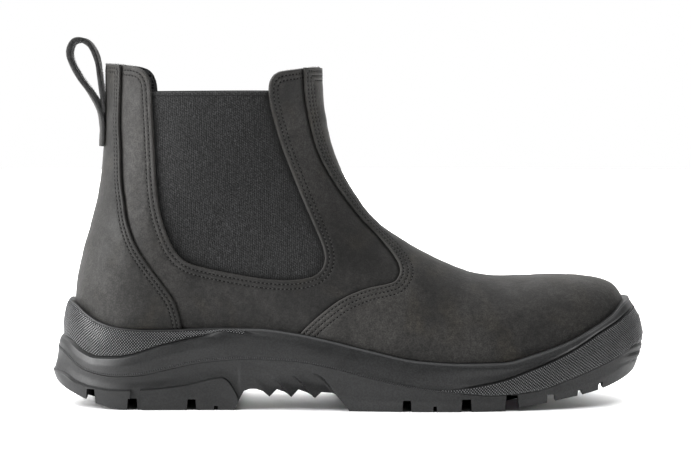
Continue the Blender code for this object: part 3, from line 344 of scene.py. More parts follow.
def shaft_half_width(level):
    widths = smooth_curve(((0.3, HEEL_WIDTH), (0.9, HEEL_WIDTH), (ANKLE_LEVEL, ANKLE_WIDTH), (2.0, COLLAR_WIDTH)))
    return widths(level) / 2


def back_rounding(x, z):
    """Share of the full width that the rounded back of heel and shaft leaves at this place."""
    level = level_of(z)
    low, high = BACK_ROUND
    length = LAST_LENGTH * (low + (high - low) * ramp(level, 0.8, 2.0))
    t = np.clip((x - back_share(level) * LAST_LENGTH) / length, 0.0, 1.0)
    return np.sqrt(np.clip(1 - (1 - t) ** 2, 0.0, 1.0))


def section_rows():
    """Both section tables as one: base x and z, half width, top x and z, shoulder, power and shaft share."""
    rows = []
    for base, heel, ball, top, level, shoulder, power, shaft in SECTIONS:
        half = (heel * HEEL_WIDTH + ball * BALL_WIDTH) / 2
        rows.append(
            (base * LAST_LENGTH, seat_height(base), half, top * LAST_LENGTH, height_at(level), shoulder, power, shaft)
        )
    for back, back_level, top, level, shoulder in SHAFT_SECTIONS:
        rows.append(
            (back * LAST_LENGTH, height_at(back_level), HEEL_WIDTH / 2, top * LAST_LENGTH, height_at(level),
             shoulder, 2.0, 1.0)
        )
    return rows


def last_grid():
    """The upper's outermost surface: a grid of points, a row for each section, from its lateral bottom
    edge over the top to its medial bottom edge."""
    joint_row = len(SECTIONS) - 1
    all_rows = section_rows()
    foot_count = round(SECTION_ROWS * 0.62)
    foot = through(all_rows[: joint_row + 2], 400)
    chosen = np.linspace(0, len(foot) - 1 - 400 // (joint_row + 1), foot_count).round().astype(int)
    shaft = through(all_rows[joint_row:], SECTION_ROWS - foot_count + 1)[1:]
    rows = np.vstack([foot[chosen], shaft])
    rows[foot_count - 1] = all_rows[joint_row]
    even = np.linspace(0, 1, SECTION_HALF_COLUMNS + 1)
    from_edge = 0.75 * np.sin(np.pi / 2 * even) + 0.25 * even
    from_back = 0.85 * (1 - np.cos(np.pi * even)) / 2 + 0.15 * even
    grid = []
    for n, (base_x, base_z, half, top_x, top_z, shoulder, power, shaft) in enumerate(rows):
        rise = from_edge + (from_back - from_edge) * ramp(shaft, 0.5, 1.0)
        x = base_x + (top_x - base_x) * rise
        z = base_z + (top_z - base_z) * rise
        take = shaft * ramp(level_of(z), *SHAFT_BLEND)
        width = max(half, 0.0) * (1 - take) + shaft_half_width(level_of(z)) * take
        over = np.clip((rise - shoulder) / (1 - shoulder), 0.0, 1.0)
        front = np.clip(1 - over**power, 0.0, 1.0) ** (1 / FRONT_SQUARENESS)
        y = width * front * back_rounding(x, z)
        if n >= foot_count - 1:
            y[0] = 0.0
        y[-1] = 0.0
        middle = swing_at(x, z)
        lateral = np.stack([x, middle - y, z], axis=1)
        medial = np.stack([x, middle + y, z], axis=1)
        grid.append(np.vstack([lateral, medial[-2::-1]]))
    return np.array(grid), foot_count


def halved(a, b, c, d):
    """A quad as two triangles. Layers that lie on each other are all split along the same diagonals."""
    return [tuple(t) for t in ((a, b, c), (a, c, d)) if len(set(t)) == 3]


def grid_faces(rows, columns):
    """Triangles of a grid whose points are numbered row by row."""
    faces = []
    for i in range(rows - 1):
        for j in range(columns - 1):
            a = i * columns + j
            faces += halved(a, a + 1, a + columns + 1, a + columns)
    return faces


def new_mesh(name, points, faces, weld=1e-6):
    """A mesh with its doubled points welded, its collapsed faces dropped and its normals made consistent."""
    mesh = bpy.data.meshes.new(name)
    mesh.from_pydata([tuple(map(float, p)) for p in points], [], faces)
    shape = bmesh.new()
    shape.from_mesh(mesh)
    bmesh.ops.remove_doubles(shape, verts=shape.verts, dist=weld)
    bmesh.ops.dissolve_degenerate(shape, edges=shape.edges, dist=weld)
    bmesh.ops.recalc_face_normals(shape, faces=shape.faces)
    shape.to_mesh(mesh)
    shape.free()
    return mesh


def outward_normals(grid):
    """The surface's outward direction at each grid point."""
    along = np.gradient(grid, axis=0)
    across = np.gradient(grid, axis=1)
    normals = np.cross(across, along)
    lengths = np.linalg.norm(normals, axis=2, keepdims=True)
    normals = normals / np.maximum(lengths, 1e-12)
    middle = grid.mean(axis=1, keepdims=True)
    if ((grid - middle) * normals).sum() < 0:
        normals = -normals
    normals[0] = (1.0, 0.0, 0.0)
    return normals


def make_forms():
    """The last's grid, its outward directions and the row where the bottom edge ends at the heel."""
    grid, foot_count = last_grid()
    normals = outward_normals(grid)
    back = slice(foot_count - 1, None)
    # The two sides meet on the back line, so they share one direction there.
    shared = normals[back, 0] + normals[back, -1]
    shared[:, 1] = 0.0
    normals[back, 0] = normals[back, -1] = shared
    for column in (0, -1):
        normals[:foot_count, column, 2] = 0.0
    normals[:, SECTION_HALF_COLUMNS, 1] *= 0.0
    normals[-1, :, 2] = 0.0
    normals /= np.maximum(np.linalg.norm(normals, axis=2, keepdims=True), 1e-12)
    return grid, normals, foot_count


def add_object(name, mesh, collection):
    """A cutter, which is only used to shape other pieces."""
    made = bpy.data.objects.new(name, mesh)
    collection.objects.link(made)
    made.hide_render = True
    return made


def boolean(target, cutter, operation):
    cut = target.modifiers.new(cutter.name, "BOOLEAN")
    cut.operation = operation
    cut.solver = "EXACT"
    cut.object = cutter
    return cut


def boolean_all(target, cutters, operation):
    cut = target.modifiers.new(cutters.name, "BOOLEAN")
    cut.operation = operation
    cut.solver = "EXACT"
    cut.operand_type = "COLLECTION"
    cut.collection = cutters
    return cut


def closed_form(name, forms, distance, drop, collection):
    """The whole last as one closed solid, distance outside its surface, its bottom lowered by drop."""
    grid, normals, foot_count = forms
    rows, columns, _ = grid.shape
    points = grid + normals * distance
    points[:foot_count, 0, 2] -= drop
    points[:foot_count, -1, 2] -= drop
    faces = grid_faces(rows, columns)
    for i in range(foot_count - 1):
        first, after = i * columns, (i + 1) * columns
        faces.append((first, after, after + columns - 1, first + columns - 1))
    top = (rows - 1) * columns
    for j in range(SECTION_HALF_COLUMNS):
        faces.append(tuple(dict.fromkeys((top + j, top + columns - 1 - j, top + columns - 2 - j, top + j + 1))))
    return add_object(name, new_mesh(name, points.reshape(-1, 3), faces), collection)


def side_prism(name, outline, low_y, high_y, collection):
    """An outline seen from the side, (x, z), drawn out from low_y to high_y."""
    count = len(outline)
    points = [(x, low_y, z) for x, z in outline] + [(x, high_y, z) for x, z in outline]
    faces = [tuple(range(count)), tuple(range(count, 2 * count))]
    faces += [(i, (i + 1) % count, (i + 1) % count + count, i + count) for i in range(count)]
    return add_object(name, new_mesh(name, points, faces), collection)


def upper_outline(table):
    """A table of shares and levels as points (x, z)."""
    return [(share * LAST_LENGTH, float(height_at(level))) for share, level in table]


def sole_stations():
    """Shares of LAST_LENGTH at which the sole is cut into sections: evenly along its edge, closer
    together round the heel and the toe, with a few more at the heel's breast."""
    x, half = bottom_edge()
    share = x / LAST_LENGTH
    round_ends = 1.0 + 1.3 * (1 - ramp(share, 0.03, 0.16)) + 1.3 * ramp(share, 0.86, 0.97)
    steps = np.hypot(np.diff(x), np.diff(half)) * (round_ends[1:] + round_ends[:-1]) / 2
    way = np.concatenate([[0.0], np.cumsum(steps)])
    stations = np.interp(np.linspace(0, way[-1], SOLE_STATIONS), way, share)
    stations[0], stations[-1] = 0.0, 1.0
    arch = np.arange(0.255, 0.505, 0.0022)
    keep = [s for s in stations if s < arch[0] - 0.002 or s > arch[-1] + 0.002]
    return np.array(sorted(keep + list(arch)))


def bottom_edge():
    """The upper's bottom edge from above: half width and middle line against the share of LAST_LENGTH."""
    fine = through(section_rows()[: len(SECTIONS)], 1200)[::-1]
    x = np.maximum.accumulate(np.clip(fine[:, 0], 0.0, LAST_LENGTH))
    x = np.concatenate([np.linspace(0.0, x[1], 40)[:-1], x[1:]])
    half = np.interp(x, fine[:, 0], np.maximum(fine[:, 2], 0.0)) * back_rounding(x, HEEL_SEAT)
    half[0] = half[-1] = 0.0
    return x, half


def sole_ring_base():
    """The closed outline that the sole's lines are measured from: points, outward directions and
    stations, from the heel along the lateral side to the toe and back along the medial side."""
    edge_x, edge_half = bottom_edge()
    stations = sole_stations()
    x = stations * LAST_LENGTH
    half = np.interp(x, edge_x, edge_half)
    half[0] = half[-1] = 0.0
    middle = swing_share(stations) * BALL_WIDTH
    lateral = np.stack([x, middle - half], axis=1)
    medial = np.stack([x, middle + half], axis=1)
    ring = np.vstack([lateral, medial[-2:0:-1]])
    before, after = np.roll(ring, 1, axis=0), np.roll(ring, -1, axis=0)
    unit = [d / np.linalg.norm(d, axis=1, keepdims=True) for d in (ring - before, after - ring)]
    along = unit[0] + unit[1]
    along /= np.linalg.norm(along, axis=1, keepdims=True)
    outward = np.stack([along[:, 1], -along[:, 0]], axis=1)
    ring_stations = np.concatenate([stations, stations[-2:0:-1]])
    return ring, outward, ring_stations


def spread_curve(shares):
    return smooth_curve(list(zip(SPREAD_STATIONS, shares)))


def sole_line(base, heights, spread, extra=0.0, raise_by=0.0):
    """One line round the sole: its height from a side view table, its place from a spread table."""
    ring, outward, stations = base
    out = spread_curve(spread)(stations) * SOLE_SPREAD + extra
    z = smooth_curve(heights)(stations) * WALL_HEIGHT + raise_by
    flat = ring + outward * np.asarray(out)[:, None]
    return np.column_stack([flat, z])


def joint_lines(base, side):
    """The lines of the joint between outsole and midsole, going inwards. side is -1 for the outsole's
    face and +1 for the midsole's, which lie GAP apart."""
    ring, outward, stations = base
    outer = sole_line(base, PARTING_LINE, PARTING_SPREAD)
    tread = smooth_curve(TREAD_LINE)(stations) * WALL_HEIGHT
    low = np.maximum(seat_height(stations) * (1 - JOINT_DEPTH) - 0.0, 0.0)
    low = np.minimum(low, outer[:, 2])
    low = np.maximum(np.minimum(low, tread + 2.2 * JOINT_FLOOR * HEEL_SEAT), tread + JOINT_FLOOR * HEEL_SEAT)
    lines = []
    for inwards, share in JOINT_RINGS:
        middle = np.array([LAST_LENGTH / 2, 0.0])
        limit = np.abs(ring[:, 1] - swing_share(stations) * BALL_WIDTH)
        step = inwards * HEEL_WIDTH
        flat = outer[:, :2] - outward * step
        cross = np.minimum(1.0, (limit + step) / (step + 1e-9))
        flat = flat + (middle - flat) * (1 - cross)[:, None] * 0.02
        z = outer[:, 2] + (low - outer[:, 2]) * share + side * GAP / 2
        lines.append(np.column_stack([flat, z]))
    return lines


def midsole_lines(base, rim_rise=0.0, rim_spread=0.0):
    """The midsole's side from its rim down to the parting line, then the joint's lines inwards."""
    _, _, stations = base
    step = smooth_curve(STEP_SHARE)(stations) * STEP_DEPTH
    half = BAND_HALF * WALL_HEIGHT
    rim = sole_line(base, RIM_LINE, RIM_SPREAD, extra=rim_spread, raise_by=rim_rise)
    lip = sole_line(base, RIM_LINE, LIP_SPREAD, extra=rim_spread, raise_by=rim_rise - LIP_DROP * WALL_HEIGHT)
    over = sole_line(base, STEP_LINE, STEP_SPREAD, extra=-step / 2, raise_by=half)
    band = sole_line(base, RIM_LINE, BAND_SPREAD, extra=-step / 3)
    under = sole_line(base, STEP_LINE, STEP_SPREAD, extra=step / 2, raise_by=-half)
    wall = sole_line(base, STEP_LINE, WALL_SPREAD, extra=step / 4)
    parting = sole_line(base, PARTING_LINE, PARTING_SPREAD, raise_by=GAP / 2)
    wall[:, 2] = (under[:, 2] + parting[:, 2]) / 2
    low_enough = parting[:, 2] + 0.2 * half
    under[:, 2] = np.maximum(under[:, 2], low_enough + 0.4 * half)
    over[:, 2] = np.minimum(np.maximum(over[:, 2], under[:, 2] + half), rim[:, 2] - 1.2 * half)
    under[:, 2] = np.minimum(under[:, 2], over[:, 2] - 0.8 * half)
    lip[:, 2] = np.maximum(lip[:, 2], over[:, 2] + 0.5 * half)
    band[:, 2] = (lip[:, 2] + over[:, 2]) / 2
    wall[:, 2] = np.clip(wall[:, 2], low_enough, under[:, 2] - 0.1 * half)
    return [rim, lip, band, over, under, wall] + joint_lines(base, 1)


def outsole_lines(base):
    """The outsole's side from the edge of the tread up, then the joint's lines inwards."""
    _, _, stations = base
    step = smooth_curve(LUG_SHARE)(stations) * LUG_STEP
    half = BAND_HALF * WALL_HEIGHT
    parting = sole_line(base, PARTING_LINE, PARTING_SPREAD, raise_by=-GAP / 2)
    over = sole_line(base, LUG_LINE, LUG_SPREAD, raise_by=half)
    under = sole_line(base, LUG_LINE, LUG_SPREAD, extra=step, raise_by=-half)
    tread = sole_line(base, TREAD_LINE, TREAD_SPREAD, extra=step)
    over[:, 2] = np.minimum(over[:, 2], parting[:, 2] - half)
    under[:, 2] = np.clip(under[:, 2], tread[:, 2] + half, over[:, 2] - half)
    return [tread, under, over] + joint_lines(base, -1)


def tread_height(x):
    return float(smooth_curve(TREAD_LINE)(x / LAST_LENGTH)) * WALL_HEIGHT


def groove(name, points, width, depth, collection):
    """A groove of the tread along points (x, y), cut to depth above the tread's own height there."""
    below = 2 * GROOVE_DEPTH
    flat = np.array(points)
    along = np.gradient(flat, axis=0)
    along /= np.linalg.norm(along, axis=1, keepdims=True)
    side = np.stack([-along[:, 1], along[:, 0]], axis=1) * width / 2
    shape = []
    for (x, y), (sx, sy) in zip(flat, side):
        foot = tread_height(x)
        shape += [
            (x + 1.15 * sx, y + 1.15 * sy, foot - below),
            (x - 1.15 * sx, y - 1.15 * sy, foot - below),
            (x - 0.75 * sx, y - 0.75 * sy, foot + depth),
            (x + 0.75 * sx, y + 0.75 * sy, foot + depth),
        ]
    faces = [(0, 1, 2, 3), tuple(range(len(shape) - 4, len(shape)))]
    for i in range(len(flat) - 1):
        a = 4 * i
        for k in range(4):
            n = (k + 1) % 4
            faces.append((a + k, a + n, a + 4 + n, a + 4 + k))
    return add_object(name, new_mesh(name, shape, faces), collection)


def add_tread(collection):
    """The cutters of the tread: side notches, two long channels and the middle row's cross grooves."""
    outside = 0.75 * BALL_WIDTH
    edge_x, edge_half = bottom_edge()
    channel_y = CHANNEL_Y * BALL_WIDTH
    for side, word in ((-1, "lateral"), (1, "medial")):
        for n, (middle, width, height, reach, sweep) in enumerate(NOTCHES):
            x = middle * LAST_LENGTH
            centre = float(swing_share(middle)) * BALL_WIDTH
            edge = float(np.interp(x, edge_x, edge_half))
            inner = max(edge - reach * BALL_WIDTH, (0.75 if middle < 0.4 else 1.0) * channel_y)
            turn = sweep * (outside - inner) * 0.4
            shown = height * (TOE_NOTCH_SHARE if middle > 0.84 else 1.0)
            route = [(x, centre + side * outside), (x, centre + side * edge), (x - turn, centre + side * inner)]
            if reach < 0:
                del route[1]
            groove(f"notch_{word}_{n}", route, width * LAST_LENGTH, shown * HEEL_SEAT, collection)
        for n, (start, end) in enumerate(CHANNEL_ENDS):
            shares = np.linspace(start, end, 7)
            route = [
                (s * LAST_LENGTH, float(swing_share(s)) * BALL_WIDTH + side * channel_y * (0.75 if n == 0 else 1.0))
                for s in shares
            ]
            groove(f"channel_{word}_{n}", route, CHANNEL_WIDTH, GROOVE_DEPTH * 0.92, collection)
    for n, share in enumerate(MIDDLE_GROOVES):
        centre = float(swing_share(share)) * BALL_WIDTH
        x = share * LAST_LENGTH
        bend = 0.25 * channel_y
        route = [(x - bend, centre - channel_y), (x, centre), (x - bend, centre + channel_y)]
        groove(f"middle_groove_{n}", route, CHANNEL_WIDTH, GROOVE_DEPTH * 0.84, collection)


def insole_slab(collection):
    """A slab that follows the seat, wider than the boot, from which the insole is taken."""
    shares = np.linspace(-0.03, 1.05, 24)
    points, faces = [], []
    for share in shares:
        low = float(seat_height(share))
        for y in (-BALL_WIDTH, BALL_WIDTH):
            points += [(share * LAST_LENGTH, y, low), (share * LAST_LENGTH, y, low + INSOLE_THICKNESS)]
    for i in range(len(shares) - 1):
        a, b = 4 * i, 4 * i + 4
        faces += [(a, b, b + 2, a + 2), (a + 1, a + 3, b + 3, b + 1)]
        faces += [(a, a + 1, b + 1, b), (a + 2, b + 2, b + 3, a + 3)]
    faces += [(0, 2, 3, 1), (len(points) - 4, len(points) - 3, len(points) - 1, len(points) - 2)]
    return add_object("insole_slab", new_mesh("insole_slab", points, faces), collection)


# Where the last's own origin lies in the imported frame
FRAME_SHIFT = np.array((-0.13994999, -0.00038118, 0.0))

# Sizes of the finer forms, in metres
EDGE_ROUND = 0.0006  # rounding of cut leather edges
SEAM_ROWS = {"upper": (0.0022, 0.0046), "vamp": (0.0017, 0.0041, 0.0065), "back_strip": (0.0018, 0.0038)}
SEAM_SINK = 0.00030  # how deep a row of stitches pulls the leather in
SEAM_WIDTH = 0.0006
STITCH_PITCH = 0.0021
STITCH_LENGTH = 0.0012
STITCH_RADIUS = 0.00028
LAP_SINK = 0.00045  # how deep the quarter dips beside a panel that laps over it
LAP_WIDTH = 0.0009
TOE_NOTCH_SHARE = 0.6  # the last notches before the toe show shallower than they are cut
LOOP_STATIONS = 150
LOOP_SWELL = 0.0010  # how much thicker the pull loop's strap is at its bend
KNURL_PITCH = 0.00142
KNURL_HEIGHT = 0.00042
HEEL_KNURLS = (-0.1, 0.307)  # where each band begins and ends, as shares of LAST_LENGTH
TOE_KNURLS = (0.66, 1.1)
ELASTIC_BAND = 0.0019  # the folded band along the elastic's top

# The blades between the flutes of the arch's side: where each one's tip stands and where its crest ends,
# as shares of LAST_LENGTH and of HEEL_SEAT, and how far the flute behind it is scooped out, in metres
BLADES = (
    # tip, tip height, end, end height, scoop
    (0.2930, 0.26, 0.2500, 0.46, 0.0004),
    (0.3523, 0.22, 0.3060, 0.64, 0.0034),
    (0.3918, 0.22, 0.3370, 0.69, 0.0038),
    (0.4338, 0.21, 0.3700, 0.72, 0.0036),
    (0.4780, 0.16, 0.4300, 0.66, 0.0014),
)

# Creases, dents and swellings of the leather: place as share of LAST_LENGTH and level, the
# direction it runs in, half its length and width, how deep it sinks (negative: it swells), and its side
CREASES = (
    # share, level, degrees, half length, half width, depth, side
    (0.515, 1.09, -24, 0.020, 0.0035, 0.00035, 0),
    (0.500, 1.00, -18, 0.026, 0.0045, 0.00030, -1),
    (0.545, 1.16, -40, 0.014, 0.0030, 0.00025, -1),
    (0.470, 1.28, -58, 0.018, 0.0040, 0.00028, -1),
    (0.487, 1.20, -52, 0.012, 0.0030, -0.00020, -1),
    (0.250, 0.93, -6, 0.030, 0.0055, 0.00030, -1),
    (0.340, 0.86, 4, 0.030, 0.0060, 0.00028, -1),
    (0.300, 0.78, -10, 0.026, 0.0055, -0.00025, -1),
    (0.110, 1.42, -76, 0.026, 0.0045, 0.00022, -1),
    (0.020, 1.05, -62, 0.022, 0.0070, 0.00030, -1),
    (0.060, 0.92, -40, 0.020, 0.0060, -0.00028, -1),
    (0.620, 0.86, -30, 0.024, 0.0060, 0.00034, 0),
    (0.665, 0.90, -34, 0.024, 0.0060, -0.00030, 0),
    (0.700, 0.80, -38, 0.022, 0.0055, 0.00030, 0),
    (0.560, 0.72, -14, 0.026, 0.0065, 0.00030, -1),
    (0.600, 0.62, -10, 0.028, 0.0060, -0.00026, -1),
    (0.740, 0.66, -20, 0.024, 0.0060, 0.00024, -1),
    (0.505, 0.98, -20, 0.020, 0.0050, 0.00030, 1),
    (0.280, 0.88, 0, 0.030, 0.0060, 0.00030, 1),
    (0.600, 0.70, -12, 0.028, 0.0065, 0.00030, 1),
    (0.090, 1.20, -70, 0.024, 0.0050, 0.00024, 1),
)


def relief(points):
    """Height of the creases and of a slow unevenness at points given in the last's own frame."""
    x, y, z = points[:, 0], points[:, 1], points[:, 2]
    height = 0.00010 * np.sin(310 * x + 90 * z + 1.3) * np.sin(240 * z - 60 * x)
    height += 0.00007 * np.sin(520 * x - 410 * z + 0.7) * np.sin(360 * z + 130 * x + 2.0)
    for share, level, degrees, length, width, depth, side in CREASES:
        dx, dz = x - share * LAST_LENGTH, z - float(height_at(level))
        c, s = math.cos(math.radians(degrees)), math.sin(math.radians(degrees))
        u, v = c * dx + s * dz, -s * dx + c * dz
        bend = v - 0.08 * np.sin(3.0 * u / length) * width * 8 * 0.4
        here = np.exp(-((u / length) ** 2)) * np.exp(-((bend / width) ** 2))
        if side:
            here = here * ramp(side * y, -0.006, 0.006)
        height -= depth * here
    return height


def smooth_outline(table, corners=2):
    """An outline's points on a smooth curve, apart from the corners at both its ends."""
    points = upper_outline(table)
    inner = points[corners - 1 : len(points) - corners + 1]
    fine = through(inner, 12 * len(inner))
    return points[: corners - 1] + [tuple(p) for p in fine] + points[len(points) - corners + 1 :]


def inside_distance(points, outline):
    """Distance of each point (x, z) to a closed outline, positive inside it."""
    a = np.array(outline, float)
    b = np.roll(a, -1, axis=0)
    found = np.empty(len(points))
    for start in range(0, len(points), 4000):
        p = points[start : start + 4000, None, :]
        edge = (b - a)[None]
        t = np.clip(((p - a) * edge).sum(2) / np.maximum((edge**2).sum(2), 1e-18), 0, 1)
        distance = np.linalg.norm(p - a - t[..., None] * edge, axis=2).min(axis=1)
        px, pz = p[..., 0], p[..., 1]
        crosses = (a[:, 1] > pz) != (b[:, 1] > pz)
        rise = np.where(b[:, 1] == a[:, 1], 1e-12, b[:, 1] - a[:, 1])
        at = a[:, 0] + (pz - a[:, 1]) / rise * (b[:, 0] - a[:, 0])
        inside = (crosses & (px < at)).sum(axis=1) % 2 == 1
        found[start : start + 4000] = np.where(inside, distance, -distance)
    return found


class Sheet:
    """A triangle surface with outward directions and named fields, which can be cut along their lines."""

    def __init__(self, points, normals, faces, fields):
        self.points, self.normals, self.faces, self.fields = points, normals, faces, fields

    def copy(self):
        return Sheet(self.points.copy(), self.normals.copy(), self.faces.copy(), dict(self.fields))

    def cut(self, name, level):
        """Splits the faces along the line where a field has this level."""
        values = self.fields[name].copy()
        values[np.abs(values - level) < 2e-6] = level
        self.fields[name] = values
        side = np.sign(values - level).astype(int)
        s = side[self.faces]
        crossed = (s.min(axis=1) < 0) & (s.max(axis=1) > 0)
        kept = self.faces[~crossed].tolist()
        count, new, ends = len(values), {}, []

        def between(i, j):
            key = (i, j) if i < j else (j, i)
            if key not in new:
                new[key] = count + len(ends)
                ends.append(key)
            return new[key]

        for face in self.faces[crossed].tolist():
            signs = [side[i] for i in face]
            if 0 in signs:
                k = signs.index(0)
                a, b, c = face[k], face[(k + 1) % 3], face[(k + 2) % 3]
                m = between(b, c)
                kept += [[a, b, m], [a, m, c]]
            else:
                k = next(n for n in range(3) if signs[n] != signs[(n + 1) % 3] and signs[n] != signs[(n + 2) % 3])
                a, b, c = face[k], face[(k + 1) % 3], face[(k + 2) % 3]
                p, q = between(a, b), between(a, c)
                kept += [[a, p, q], [p, b, c], [p, c, q]]
        self.faces = np.array(kept)
        if not ends:
            return
        i, j = np.array(ends).T
        t = ((level - values[i]) / (values[j] - values[i]))[:, None]
        p0, p1, n0, n1 = self.points[i], self.points[j], self.normals[i], self.normals[j]
        e = p1 - p0
        t0 = e - (e * n0).sum(1, keepdims=True) * n0
        t1 = e - (e * n1).sum(1, keepdims=True) * n1
        curve = (
            (2 * t**3 - 3 * t**2 + 1) * p0 + (t**3 - 2 * t**2 + t) * t0
            + (3 * t**2 - 2 * t**3) * p1 + (t**3 - t**2) * t1
        )
        normal = n0 * (1 - t) + n1 * t
        normal /= np.maximum(np.linalg.norm(normal, axis=1, keepdims=True), 1e-12)
        self.points = np.vstack([self.points, curve])
        self.normals = np.vstack([self.normals, normal])
        for key, field in self.fields.items():
            added = field[i] * (1 - t[:, 0]) + field[j] * t[:, 0]
            if key == name:
                added = np.full(len(added), level)
            self.fields[key] = np.concatenate([field, added])

    def trim(self, name):
        """Keeps only what lies where a field is positive."""
        self.cut(name, 0.0)
        values = self.fields[name]
        self.faces = self.faces[(values[self.faces] > -1e-7).all(axis=1) & (values[self.faces].max(axis=1) > 0)]
        used = np.unique(self.faces)
        number = np.full(len(values), -1)
        number[used] = np.arange(len(used))
        self.faces = number[self.faces]
        self.points, self.normals = self.points[used], self.normals[used]
        self.fields = {key: field[used] for key, field in self.fields.items()}

    def boundary(self):
        """The edges that belong to a single face."""
        seen = {}
        for a, b, c in self.faces.tolist():
            for i, j in ((a, b), (b, c), (c, a)):
                key = (min(i, j), max(i, j))
                seen[key] = None if key in seen else (i, j)
        return [edge for edge in seen.values() if edge]

    def chains(self, name, level):
        """The lines where a field has this level, each as a list of point numbers."""
        on = np.abs(self.fields[name] - level) < 1e-9
        edges = set()
        for face in self.faces[on[self.faces].sum(axis=1) >= 2].tolist():
            for i, j in ((face[0], face[1]), (face[1], face[2]), (face[2], face[0])):
                if on[i] and on[j]:
                    edges.add((min(i, j), max(i, j)))
        near = {}
        for i, j in edges:
            near.setdefault(i, []).append(j)
            near.setdefault(j, []).append(i)
        found, left = [], set(near)
        while left:
            ends = [i for i in left if len(near[i]) == 1]
            at = min(ends) if ends else min(left)
            line = [at]
            left.discard(at)
            while True:
                ahead = [k for k in near[line[-1]] if k in left]
                if not ahead:
                    break
                line.append(ahead[0])
                left.discard(ahead[0])
            if len(line) > 3:
                found.append(line)
        return found


def base_sheet(forms):
    """The last's surface as a sheet, with its distance to the collar's top as a field."""
    grid, normals, _ = forms
    rows, columns, _ = grid.shape
    steps = np.linalg.norm(np.diff(grid, axis=0), axis=2)
    to_top = np.zeros((rows, columns))
    to_top[:-1] = np.cumsum(steps[::-1], axis=0)[::-1]
    flat = grid.reshape(-1, 3)
    first, number = {}, []
    for n, p in enumerate(np.round(flat, 7) + 0.0):
        number.append(first.setdefault(tuple(p), n))
    faces = [tuple(number[i] for i in face) for face in grid_faces(rows, columns)]
    faces = np.array([face for face in faces if len(set(face)) == 3])
    used = np.unique(faces)
    new = np.full(len(flat), -1)
    new[used] = np.arange(len(used))
    sheet = Sheet(flat[used], normals.reshape(-1, 3)[used], new[faces], {"top": to_top.reshape(-1)[used]})
    return sheet


def facing_out(sheet):
    """Turns each face so that it looks the way its points' directions do."""
    p = sheet.points[sheet.faces]
    way = np.cross(p[:, 1] - p[:, 0], p[:, 2] - p[:, 0])
    wrong = (way * sheet.normals[sheet.faces].sum(axis=1)).sum(axis=1) < 0
    sheet.faces[wrong] = sheet.faces[wrong][:, ::-1]


def rim_height(base):
    """Height of the midsole's rim against x, in the last's own frame."""
    line = sole_line(base, RIM_LINE, RIM_SPREAD)
    half = line[: len(line) // 2 + 1]
    order = np.argsort(half[:, 0])
    return lambda x: np.interp(x, half[order, 0], half[order, 2])


def measure_edges(sheet, limit=0.012):
    """Adds the field edge: the distance over the surface to the piece's cut edges, but not to its foot."""
    outline, top = sheet.fields["outline"], sheet.fields["top"]
    samples = []
    for i, j in sheet.boundary():
        if all(min(abs(outline[k]), top[k]) < 1e-6 for k in (i, j)):
            a, b = sheet.points[i], sheet.points[j]
            for t in np.arange(0, 1, 1 / (1 + int(np.linalg.norm(b - a) / 0.0002))):
                samples.append(a * (1 - t) + b * t)
            samples.append(b)
    tree = KDTree(len(samples))
    for n, p in enumerate(samples):
        tree.insert(p, n)
    tree.balance()
    close = np.minimum(np.abs(outline), top) < 2 * limit
    edge = np.full(len(sheet.points), limit)
    for n in np.flatnonzero(close):
        edge[n] = min(limit, tree.find(sheet.points[n])[2])
    edge[edge < 2e-6] = 0.0
    sheet.fields["edge"] = edge


def drop_at(edge, rounding):
    """How far a rounded edge lies below the face at a distance from it."""
    t = np.clip(1 - edge / rounding, 0.0, 1.0)
    return rounding * (1 - np.sqrt(np.clip(1 - t * t, 0.0, 1.0)))


def shell(name, sheet, outer, inner, materials, split=None):
    """A closed piece from a sheet and the two distances of its faces from the last."""
    facing_out(sheet)
    count = len(sheet.points)
    points = np.vstack([sheet.points + sheet.normals * outer[:, None], sheet.points + sheet.normals * inner[:, None]])
    faces = sheet.faces.tolist() + (sheet.faces[:, ::-1] + count).tolist()
    rim = [(j, i, i + count, j + count) for i, j in sheet.boundary()]
    made = place(name, points, faces + rim, materials)
    indices = np.zeros(len(made.data.polygons), int)
    if split is not None:
        n = len(sheet.faces)
        indices[n : 2 * n] = split
        made.data.polygons.foreach_set("material_index", indices)
    for key in ("edge", "shade"):
        if key in sheet.fields:
            values = np.concatenate([sheet.fields[key]] * 2).astype(np.float32)
            layer = made.data.attributes.new(key, "FLOAT", "POINT")
            layer.data.foreach_set("value", values)
    return made


def place(name, points, faces, materials, angle=40, merge=None):
    """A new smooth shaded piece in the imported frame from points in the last's own frame."""
    mesh = bpy.data.meshes.new(name)
    mesh.from_pydata([tuple(p) for p in (np.asarray(points) + FRAME_SHIFT).tolist()], [], faces)
    mesh.validate()
    if merge:
        shape = bmesh.new()
        shape.from_mesh(mesh)
        bmesh.ops.remove_doubles(shape, verts=shape.verts, dist=merge)
        bmesh.ops.recalc_face_normals(shape, faces=shape.faces)
        shape.to_mesh(mesh)
        shape.free()
    made = bpy.data.objects.new(name, mesh)
    bpy.context.scene.collection.objects.link(made)
    for found in materials:
        mesh.materials.append(found)
    mesh.shade_smooth()
    if angle:
        mesh.set_sharp_from_angle(angle=math.radians(angle))
    return made


def settle(piece, angle=40):
    """Applies a piece's modifiers and smooths its faces again."""
    graph = bpy.context.evaluated_depsgraph_get()
    mesh = bpy.data.meshes.new_from_object(piece.evaluated_get(graph), depsgraph=graph)
    materials = [slot.material for slot in piece.material_slots]
    piece.modifiers.clear()
    piece.data = mesh
    mesh.materials.clear()
    for found in materials:
        mesh.materials.append(found)
    mesh.name = piece.name
    mesh.shade_smooth()
    mesh.set_sharp_from_angle(angle=math.radians(angle))


def row_lines(sheet, level, outer):
    """The lines of one stitch row as points and directions, in the last's own frame."""
    found = []
    for line in sheet.chains("edge", level):
        p = sheet.points[line] + sheet.normals[line] * outer[line][:, None]
        found.append((p, sheet.normals[line]))
    return found


